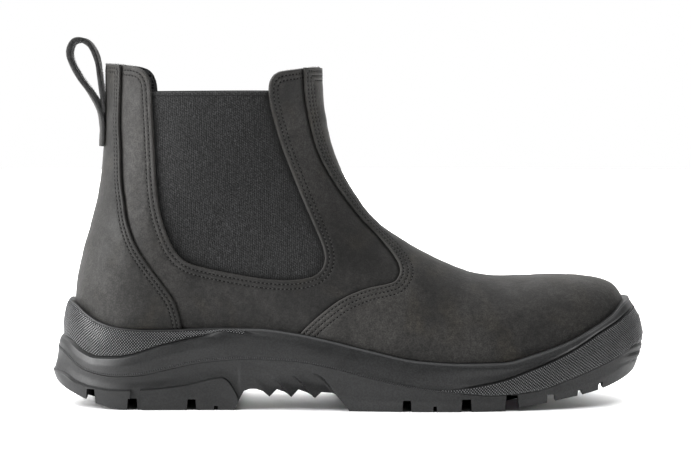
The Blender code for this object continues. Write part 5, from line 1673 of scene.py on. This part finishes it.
def nubuck(name, dark, light, seed, edge_light=1.5):
    """Oiled nubuck: soft blotches, a fine nap and small scuffs; paler cut edges, partly wear and partly a painted
    highlight; painted shade along seams and beside laps.
    """
    n = Nodes(name)
    shifted = n.add("ShaderNodeVectorMath", operation="ADD")
    n.link(n.place, shifted.inputs[0])
    shifted.inputs[1].default_value = (seed, 0.37 * seed, 0.71 * seed)
    n.place = shifted.outputs[0]
    broad = n.noise(17.0, 3.0, 0.55, 0.4)
    mottled = n.noise(62.0, 4.0, 0.6, 0.8)
    fine = n.noise(420.0, 4.0, 0.65)
    nap = n.noise(1500.0, 2.0, 0.6)
    blotch = n.math("ADD", n.math("MULTIPLY", broad, 0.76), n.math("MULTIPLY", mottled, 0.24))
    colour = n.mix(n.ramp(blotch, ((0.41, 0.0), (0.59, 1.0))), dark, light)
    warm = n.ramp(n.noise(27.0, 3.0, 0.6, 0.6), ((0.54, 0.0), (0.70, 1.0)))
    colour = n.mix(n.math("MULTIPLY", warm, 0.45), colour, (light[0] * 1.28, light[1] * 1.16, light[2] * 0.92))
    grain = n.ramp(fine, ((0.40, 0.76), (0.60, 1.24)))
    colour = n.mix(1.0, colour, grain, "MULTIPLY")
    fleck = n.ramp(nap, ((0.40, 0.66), (0.60, 1.34)))
    colour = n.mix(1.0, colour, fleck, "MULTIPLY")
    pores = n.ramp(n.cells(900.0), ((0.0, 0.80), (0.16, 1.0)))
    colour = n.mix(0.5, colour, n.mix(1.0, colour, pores, "MULTIPLY"))
    streaks = n.noise(5.0, 3.0, 0.6, 1.2, n.scaled((46.0, 30.0, 150.0), (0.2, 0.7, 0.3)))
    where = n.noise(36.0, 2.0, 0.5)
    marks = n.ramp(streaks, ((0.655, 0.0), (0.72, 1.0)))
    scuffs = n.math("MULTIPLY", marks, n.ramp(where, ((0.54, 0.0), (0.63, 1.0))))
    pale = tuple(min(1.0, c * 2.1) for c in light)
    colour = n.mix(n.math("MULTIPLY", scuffs, 0.40), colour, pale)
    # Paler cut edges: partly wear, partly a painted highlight on the rounded edge.
    edge = n.math("MULTIPLY", n.field("edge"), 1000.0)
    rim = n.ramp(edge, ((0.0, 1.0), (0.62, 0.75), (0.95, 0.0)))
    edge_highlight_and_wear = n.math("MULTIPLY", rim, n.ramp(n.noise(160.0, 3.0), ((0.30, 0.35), (0.62, 1.0))))
    colour = n.mix(n.math("MULTIPLY", edge_highlight_and_wear, 0.55), colour, tuple(c * edge_light for c in light))
    # Painted shade along the stitch rows and beside a lapping panel.
    seam_and_lap_shade = n.field("shade")
    colour = n.mix(n.math("MULTIPLY", seam_and_lap_shade, 0.45), colour, tuple(c * 0.30 for c in dark))
    roughness = n.ramp(n.noise(90.0, 4.0, 0.6), ((0.30, 0.52), (0.70, 0.70)))
    n.bump((mottled, 0.35, 0.0008), (fine, 0.50, 0.00035), (nap, 0.40, 0.00014), (pores, 0.10, 0.00008),
           (streaks, 0.05, 0.0003))
    return n.finish(colour, roughness, Specular_IOR_Level=0.30, Sheen_Weight=0.08, Sheen_Roughness=0.45,
                    Sheen_Tint=(0.9, 0.88, 0.84, 1.0))


def suede(name, dark, light):
    """The leather's rough flesh side."""
    n = Nodes(name)
    fibres = n.noise(900.0, 5.0, 0.75, 1.5)
    tufts = n.noise(330.0, 4.0, 0.7, 0.8)
    both = n.math("ADD", n.math("MULTIPLY", fibres, 0.55), n.math("MULTIPLY", tufts, 0.45))
    colour = n.mix(n.ramp(both, ((0.34, 0.0), (0.66, 1.0))), dark, light)
    n.bump((tufts, 0.8, 0.0006), (fibres, 0.8, 0.0004))
    return n.finish(colour, n.ramp(fibres, ((0.3, 0.85), (0.7, 0.98))), Specular_IOR_Level=0.2, Sheen_Weight=0.25,
                    Sheen_Roughness=0.6, Sheen_Tint=(0.8, 0.8, 0.8, 1.0))


def knitted(name):
    """Rib knitted elastic: fine upright ribs, each a column of small stitches."""
    n = Nodes(name)
    x, z = n.along("X"), n.along("Z")
    wobble = n.math("MULTIPLY", n.noise(190.0, 3.0, 0.6), 0.0022)
    across = n.math("MULTIPLY", n.math("ADD", x, wobble), 2 * math.pi / 0.00105)
    rib = n.math("ADD", n.math("MULTIPLY", n.math("SINE", across), 0.5), 0.5)
    up = n.math("MULTIPLY", z, 2 * math.pi / 0.00125)
    slanted = n.math("ADD", up, n.math("MULTIPLY", across, 0.5))
    loop = n.math("ADD", n.math("MULTIPLY", n.math("SINE", slanted), 0.5), 0.5)
    knit = n.math("ADD", n.math("MULTIPLY", rib, 0.62), n.math("MULTIPLY", loop, 0.38))
    fuzz = n.noise(1050.0, 3.0, 0.7)
    soft = n.noise(24.0, 3.0, 0.6)
    specks = n.ramp(n.noise(680.0, 2.0, 0.5), ((0.64, 0.0), (0.74, 1.0)))
    colour = n.mix(n.ramp(knit, ((0.10, 0.0), (0.85, 1.0))), (0.0060, 0.0061, 0.0062), (0.0235, 0.0236, 0.0240))
    colour = n.mix(1.0, colour, n.ramp(fuzz, ((0.41, 0.42), (0.59, 1.60))), "MULTIPLY")
    colour = n.mix(1.0, colour, n.ramp(soft, ((0.3, 0.88), (0.7, 1.12))), "MULTIPLY")
    colour = n.mix(n.math("MULTIPLY", specks, 0.5), colour, (0.060, 0.060, 0.062))
    free = n.math("MULTIPLY", n.field("edge"), 1000.0)
    folded = n.math("LESS_THAN", free, ELASTIC_BAND * 1000)
    colour = n.mix(n.math("MULTIPLY", folded, 0.12), colour, (0.040, 0.040, 0.041))
    # Painted shade in the fold line under the folded band.
    painted_crease_shade = n.math("COMPARE", free, ELASTIC_BAND * 1000, 0.28)
    colour = n.mix(n.math("MULTIPLY", painted_crease_shade, 0.80), colour, (0.004, 0.004, 0.004))
    # Painted shadow beside the leather's edge.
    colour = n.mix(n.math("MULTIPLY", n.field("shade"), 0.88), colour, (0.003, 0.003, 0.003))
    n.bump((knit, 0.65, 0.00035), (fuzz, 0.35, 0.00015))
    return n.finish(colour, n.ramp(fuzz, ((0.3, 0.82), (0.7, 0.95))), Specular_IOR_Level=0.25, Sheen_Weight=0.10,
                    Sheen_Roughness=0.5)


def rubber(name, dark, light, roughness=(0.36, 0.50), grain=0.30, gaps=False):
    """Moulded foam rubber: a fine even grain, faint flow marks and dust. The field painted_highlight says where
    a highlight is painted on, the field hollow where painted shade darkens a notch, and gaps keeps the rest dark
    and unreflecting."""
    n = Nodes(name)
    broad = n.noise(14.0, 3.0, 0.5, 0.5)
    grit = n.noise(1250.0, 3.0, 0.6)
    pits = n.ramp(n.cells(1300.0), ((0.0, 0.0), (0.30, 1.0)))
    flow = n.noise(4.0, 3.0, 0.6, 0.8, n.scaled((10.0, 14.0, 42.0), (0.0, 0.15, 0.0)))
    both = n.math("ADD", n.math("MULTIPLY", broad, 0.5), n.math("MULTIPLY", flow, 0.5))
    colour = n.mix(n.ramp(both, ((0.36, 0.0), (0.64, 1.0))), dark, light)
    colour = n.mix(1.0, colour, n.ramp(grit, ((0.41, 0.66), (0.59, 1.36))), "MULTIPLY")
    # Painted highlight: where the field is set, the colour is lifted far above the rubber's own tone.
    painted_highlight = n.ramp(n.field("painted_highlight"), ((0.78, 0.0), (0.97, 1.0))) if gaps else n.field("painted_highlight")
    colour = n.mix(n.math("MULTIPLY", painted_highlight, 0.95 if gaps else 0.75), colour, tuple(c * 3.6 for c in light))
    # Painted shade: the inside of a notch is darkened.
    hollow = n.field("hollow")
    colour = n.mix(n.math("MULTIPLY", hollow, 0.85), colour, tuple(c * 0.25 for c in dark))
    dust = n.math("MULTIPLY", n.ramp(n.noise(230.0, 4.0, 0.7), ((0.60, 0.0), (0.74, 1.0))),
                  n.ramp(n.noise(30.0, 2.0), ((0.50, 0.0), (0.62, 1.0))))
    colour = n.mix(n.math("MULTIPLY", dust, 0.16), colour, tuple(c * 2.6 for c in light))
    rough = n.ramp(n.noise(120.0, 4.0, 0.6), ((0.3, roughness[0]), (0.7, roughness[1])))
    n.bump((flow, 0.05, 0.0008), (pits, grain * 0.5, 0.00006), (grit, grain, 0.00009))
    # With gaps only the painted highlights reflect; otherwise the notches' painted shade also takes away the
    # reflection.
    shine = n.math("MULTIPLY", painted_highlight, 0.55) if gaps else n.math("MULTIPLY", n.math("SUBTRACT", 1.0, hollow), 0.42)
    n.link(shine, n.shader.inputs["Specular IOR Level"])
    return n.finish(colour, rough)


def yarn(name, colour):
    """Twisted sewing thread."""
    n = Nodes(name)
    twist = n.noise(3200.0, 2.0, 0.6)
    deep, high = tuple(c * 0.55 for c in colour), tuple(c * 1.4 for c in colour)
    shade = n.mix(n.ramp(twist, ((0.3, 0.0), (0.7, 1.0))), deep, high)
    n.bump((twist, 0.4, 0.0001))
    return n.finish(shade, n.ramp(twist, ((0.3, 0.50), (0.7, 0.70))), Specular_IOR_Level=0.4)


def netting(name):
    """The textile lining: a small open mesh over a darker ground."""
    n = Nodes(name)
    mesh = n.cells(620.0, "DISTANCE_TO_EDGE")
    holes = n.ramp(mesh, ((0.10, 1.0), (0.26, 0.0)))
    colour = n.mix(holes, (0.010, 0.010, 0.011), (0.085, 0.085, 0.088))
    n.bump((holes, 0.9, 0.0005))
    return n.finish(colour, n.ramp(n.noise(900.0), ((0.3, 0.8), (0.7, 0.95))), Specular_IOR_Level=0.25)


def board(name):
    """The insole's felt cover."""
    n = Nodes(name)
    felt = n.noise(800.0, 5.0, 0.75, 1.0)
    patch = n.noise(40.0, 3.0)
    colour = n.mix(n.ramp(felt, ((0.35, 0.0), (0.65, 1.0))), (0.030, 0.030, 0.032), (0.085, 0.085, 0.088))
    colour = n.mix(1.0, colour, n.ramp(patch, ((0.3, 0.85), (0.7, 1.1))), "MULTIPLY")
    n.bump((felt, 0.7, 0.0004))
    return n.finish(colour, n.ramp(felt, ((0.3, 0.85), (0.7, 0.98))), Specular_IOR_Level=0.2)


def paint_needle_hole_shade(name):
    """Painted shade of a needle puncture: a dark disc where its inside would lie in shadow."""
    n = Nodes(name)
    patches = n.ramp(n.noise(900.0), ((0.3, 0.0), (0.7, 1.0)))
    shade = n.mix(patches, (0.0030, 0.0030, 0.0030), (0.0060, 0.0060, 0.0060))
    return n.finish(shade, n.ramp(n.noise(400.0), ((0.3, 0.90), (0.7, 1.0))), Specular_IOR_Level=0.05)


def make_looks():
    return {
        "quarter": nubuck("quarter_nubuck", (0.0094, 0.0090, 0.0086), (0.0252, 0.0239, 0.0226), 0.0),
        "vamp": nubuck("vamp_nubuck", (0.0112, 0.0107, 0.0102), (0.0305, 0.0290, 0.0270), 1.7),
        "back_strip": nubuck("strip_nubuck", (0.0064, 0.0062, 0.0058), (0.0190, 0.0182, 0.0170), 3.1),
        "strap": nubuck("strap_nubuck", (0.0060, 0.0059, 0.0057), (0.0150, 0.0146, 0.0140), 4.3),
        "flesh": suede("flesh_side", (0.0020, 0.0020, 0.0020), (0.0200, 0.0200, 0.0200)),
        "fibre": suede("loose_fibres", (0.0300, 0.0295, 0.0290), (0.1100, 0.1080, 0.1050)),
        "lining": netting("mesh_lining"),
        "elastic": knitted("rib_elastic"),
        "midsole": rubber("midsole_rubber_look", (0.0090, 0.0092, 0.0095), (0.0165, 0.0168, 0.0172)),
        "knurl": rubber(
            "knurled_rubber_look", (0.0020, 0.0020, 0.0021), (0.0350, 0.0354, 0.0360), (0.30, 0.40), 0.10, gaps=True
        ),
        "outsole": rubber("outsole_rubber_look", (0.0080, 0.0082, 0.0085), (0.0150, 0.0153, 0.0157), (0.42, 0.58)),
        "insole": board("insole_felt"),
        "thread": yarn("sewing_thread", (0.030, 0.029, 0.028)),
        "hole_shade": paint_needle_hole_shade("painted_needle_hole_shade"),
    }


def backdrop():
    """A pale floor that the boot stands on."""
    n = Nodes("pale_floor")
    tone = n.ramp(n.noise(3.0, 2.0), ((0.3, 0.53), (0.7, 0.55)))
    away = n.add("ShaderNodeVectorMath", operation="LENGTH")
    n.link(n.place, away.inputs[0])
    far = n.math("DIVIDE", away.outputs["Value"], FLOOR_HALF)
    n.link(n.ramp(far, ((0.07, 0.0), (0.40, 0.6))), n.shader.inputs["Emission Strength"])
    look = n.finish(tone, n.ramp(n.noise(9.0), ((0.3, 0.55), (0.7, 0.65))), Specular_IOR_Level=0.1,
                    Emission_Color=(1.0, 1.0, 1.0, 1.0))
    mesh = bpy.data.meshes.new("floor")
    rows, size = 9, FLOOR_HALF
    side = np.linspace(-size, size, rows)
    points = [(x, y, -0.00005) for y in side for x in side]
    mesh.from_pydata(points, [], [(i * rows + j, i * rows + j + 1, (i + 1) * rows + j + 1, (i + 1) * rows + j)
                                  for i in range(rows - 1) for j in range(rows - 1)])
    mesh.materials.append(look)
    floor = bpy.data.objects.new("floor", mesh)
    bpy.context.scene.collection.objects.link(floor)
    lit = bpy.data.collections.new("lit_floor")
    lit.objects.link(floor)
    for name, way, width, strength in (
        ("floor_sun", (0.0, 0.20, -1.0), 50, 4.5), ("floor_back_sun", (0.0, -1.0, -0.34), 40, 8.0),
    ):
        sun = bpy.data.lights.new(name, "SUN")
        sun.energy, sun.angle = strength, math.radians(width)
        made = bpy.data.objects.new(name, sun)
        made.rotation_euler = Vector(way).to_track_quat("-Z", "Y").to_euler()
        bpy.context.scene.collection.objects.link(made)
        made.light_linking.receiver_collection = lit


def soft_light(name, place, target, size, power, colour=(1.0, 1.0, 1.0)):
    lamp = bpy.data.lights.new(name, "AREA")
    lamp.shape = "RECTANGLE"
    lamp.size, lamp.size_y = size
    lamp.energy = power
    lamp.color = colour
    made = bpy.data.objects.new(name, lamp)
    made.location = place
    made.rotation_euler = (Vector(target) - Vector(place)).to_track_quat("-Z", "Y").to_euler()
    bpy.context.scene.collection.objects.link(made)


def studio():
    """Pale surroundings, soft lights and the camera at the photograph's viewing angle."""
    scene = bpy.context.scene
    world = bpy.data.worlds.new("studio")
    scene.world = world
    world.use_nodes = True
    tree = world.node_tree
    ground = tree.nodes["Background"]
    ground.inputs["Strength"].default_value = 1.0
    way = tree.nodes.new("ShaderNodeTexCoord").outputs["Generated"]
    facing = tree.nodes.new("ShaderNodeVectorMath")
    facing.operation = "DOT_PRODUCT"
    facing.inputs[1].default_value = Vector((-0.50, 0.75, 0.45)).normalized()
    tree.links.new(way, facing.inputs[0])
    tones = tree.nodes.new("ShaderNodeValToRGB")
    tones.color_ramp.elements[0].position, tones.color_ramp.elements[0].color = 0.05, (0.24, 0.24, 0.24, 1.0)
    tones.color_ramp.elements[1].position, tones.color_ramp.elements[1].color = 0.60, (1.0, 1.0, 1.0, 1.0)
    tree.links.new(facing.outputs["Value"], tones.inputs["Fac"])
    tree.links.new(tones.outputs["Color"], ground.inputs["Color"])
    sun = bpy.data.lights.new("soft_sun", "SUN")
    sun.energy, sun.angle = 2.0, math.radians(60)
    made = bpy.data.objects.new("soft_sun", sun)
    made.rotation_euler = Vector((0.45, -0.25, -0.85)).to_track_quat("-Z", "Y").to_euler()
    scene.collection.objects.link(made)
    soft_light("heel_light", (-1.0, -0.35, 0.50), (-0.05, 0.0, 0.08), (0.6, 0.8), 18.0)
    soft_light("toe_light", (0.95, -0.25, 0.60), (0.08, 0.0, 0.05), (0.6, 0.8), 1.5)
    scene.view_settings.view_transform = "Standard"
    lens = bpy.data.cameras.new("camera")
    lens.sensor_width = 36.0
    lens.lens = CAMERA_FOCAL / 691 * 36.0
    lens.clip_start = 0.01
    camera = bpy.data.objects.new("camera", lens)
    yaw, pitch, roll = (math.radians(a) for a in (CAMERA_YAW, 90 - CAMERA_PITCH, CAMERA_ROLL))
    camera.location = (
        CAMERA_ALONG + CAMERA_DISTANCE * math.sin(yaw), -CAMERA_DISTANCE * math.cos(yaw), CAMERA_HEIGHT
    )
    turn = Matrix.Rotation(yaw, 3, "Z") @ Matrix.Rotation(pitch, 3, "X") @ Matrix.Rotation(roll, 3, "Z")
    camera.rotation_euler = turn.to_euler()
    scene.collection.objects.link(camera)
    scene.camera = camera


FLOOR_HALF = 3.0  # half the floor's side, in metres
CAMERA_FOCAL = 2514.0  # in pixels of the photograph
CAMERA_DISTANCE = 1.3
CAMERA_HEIGHT = 0.170
CAMERA_ALONG = -0.0019
CAMERA_YAW = -1.3
CAMERA_PITCH = 3.722
CAMERA_ROLL = 0.0


def main():
    studio()
    backdrop()
    looks = make_looks()
    forms = make_forms()
    base = sole_ring_base()
    temporary = bpy.data.collections.new("temporary")
    bpy.context.scene.collection.children.link(temporary)
    tread_cutters = bpy.data.collections.new("tread_cutters")
    bpy.context.scene.collection.children.link(tread_cutters)

    pieces = leather_layers(forms, base, looks)
    pieces += elastic_panels(forms, looks)

    midsole, upper_side, lower_side = fine_midsole(forms, base, looks, temporary)
    outsole = fine_outsole(base, looks, tread_cutters)
    insole = fine_insole(forms, temporary)
    insole.hide_render = False
    insole.data.materials.append(looks["insole"])
    bpy.context.scene.collection.objects.link(insole)
    for cutting in (*temporary.objects, *tread_cutters.objects):
        cutting.location = cutting.location + Vector(FRAME_SHIFT)
    bpy.context.view_layer.update()
    for piece, node in ((midsole, "midsole"), (outsole, "outsole"), (insole, "insole")):
        settle(piece)
        pieces.append((piece, node))
    insole.data.transform(Matrix.Translation(insole.location))
    insole.location = (0.0, 0.0, 0.0)
    temporary.objects.unlink(insole)
    for cutting in (*temporary.objects, *tread_cutters.objects):
        bpy.data.objects.remove(cutting, do_unlink=True)

    pieces.append((knurls("heel_knurls", upper_side, *HEEL_KNURLS, 0.0001, looks), None))
    pieces.append((knurls("toe_knurls", lower_side, *TOE_KNURLS, 0.0003, looks), None))
    pieces.append((serration(lower_side, looks), None))
    pieces.append((fine_loop(looks), "pull_loop"))
    pieces.append((loop_fuzz(looks), None))
    paint_notch_shade(outsole)

    for piece, node in pieces:
        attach(piece, "root")
        if node:
            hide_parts(node)
        elif "knurl" in piece.name or "teeth" in piece.name:
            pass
        else:
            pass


main()
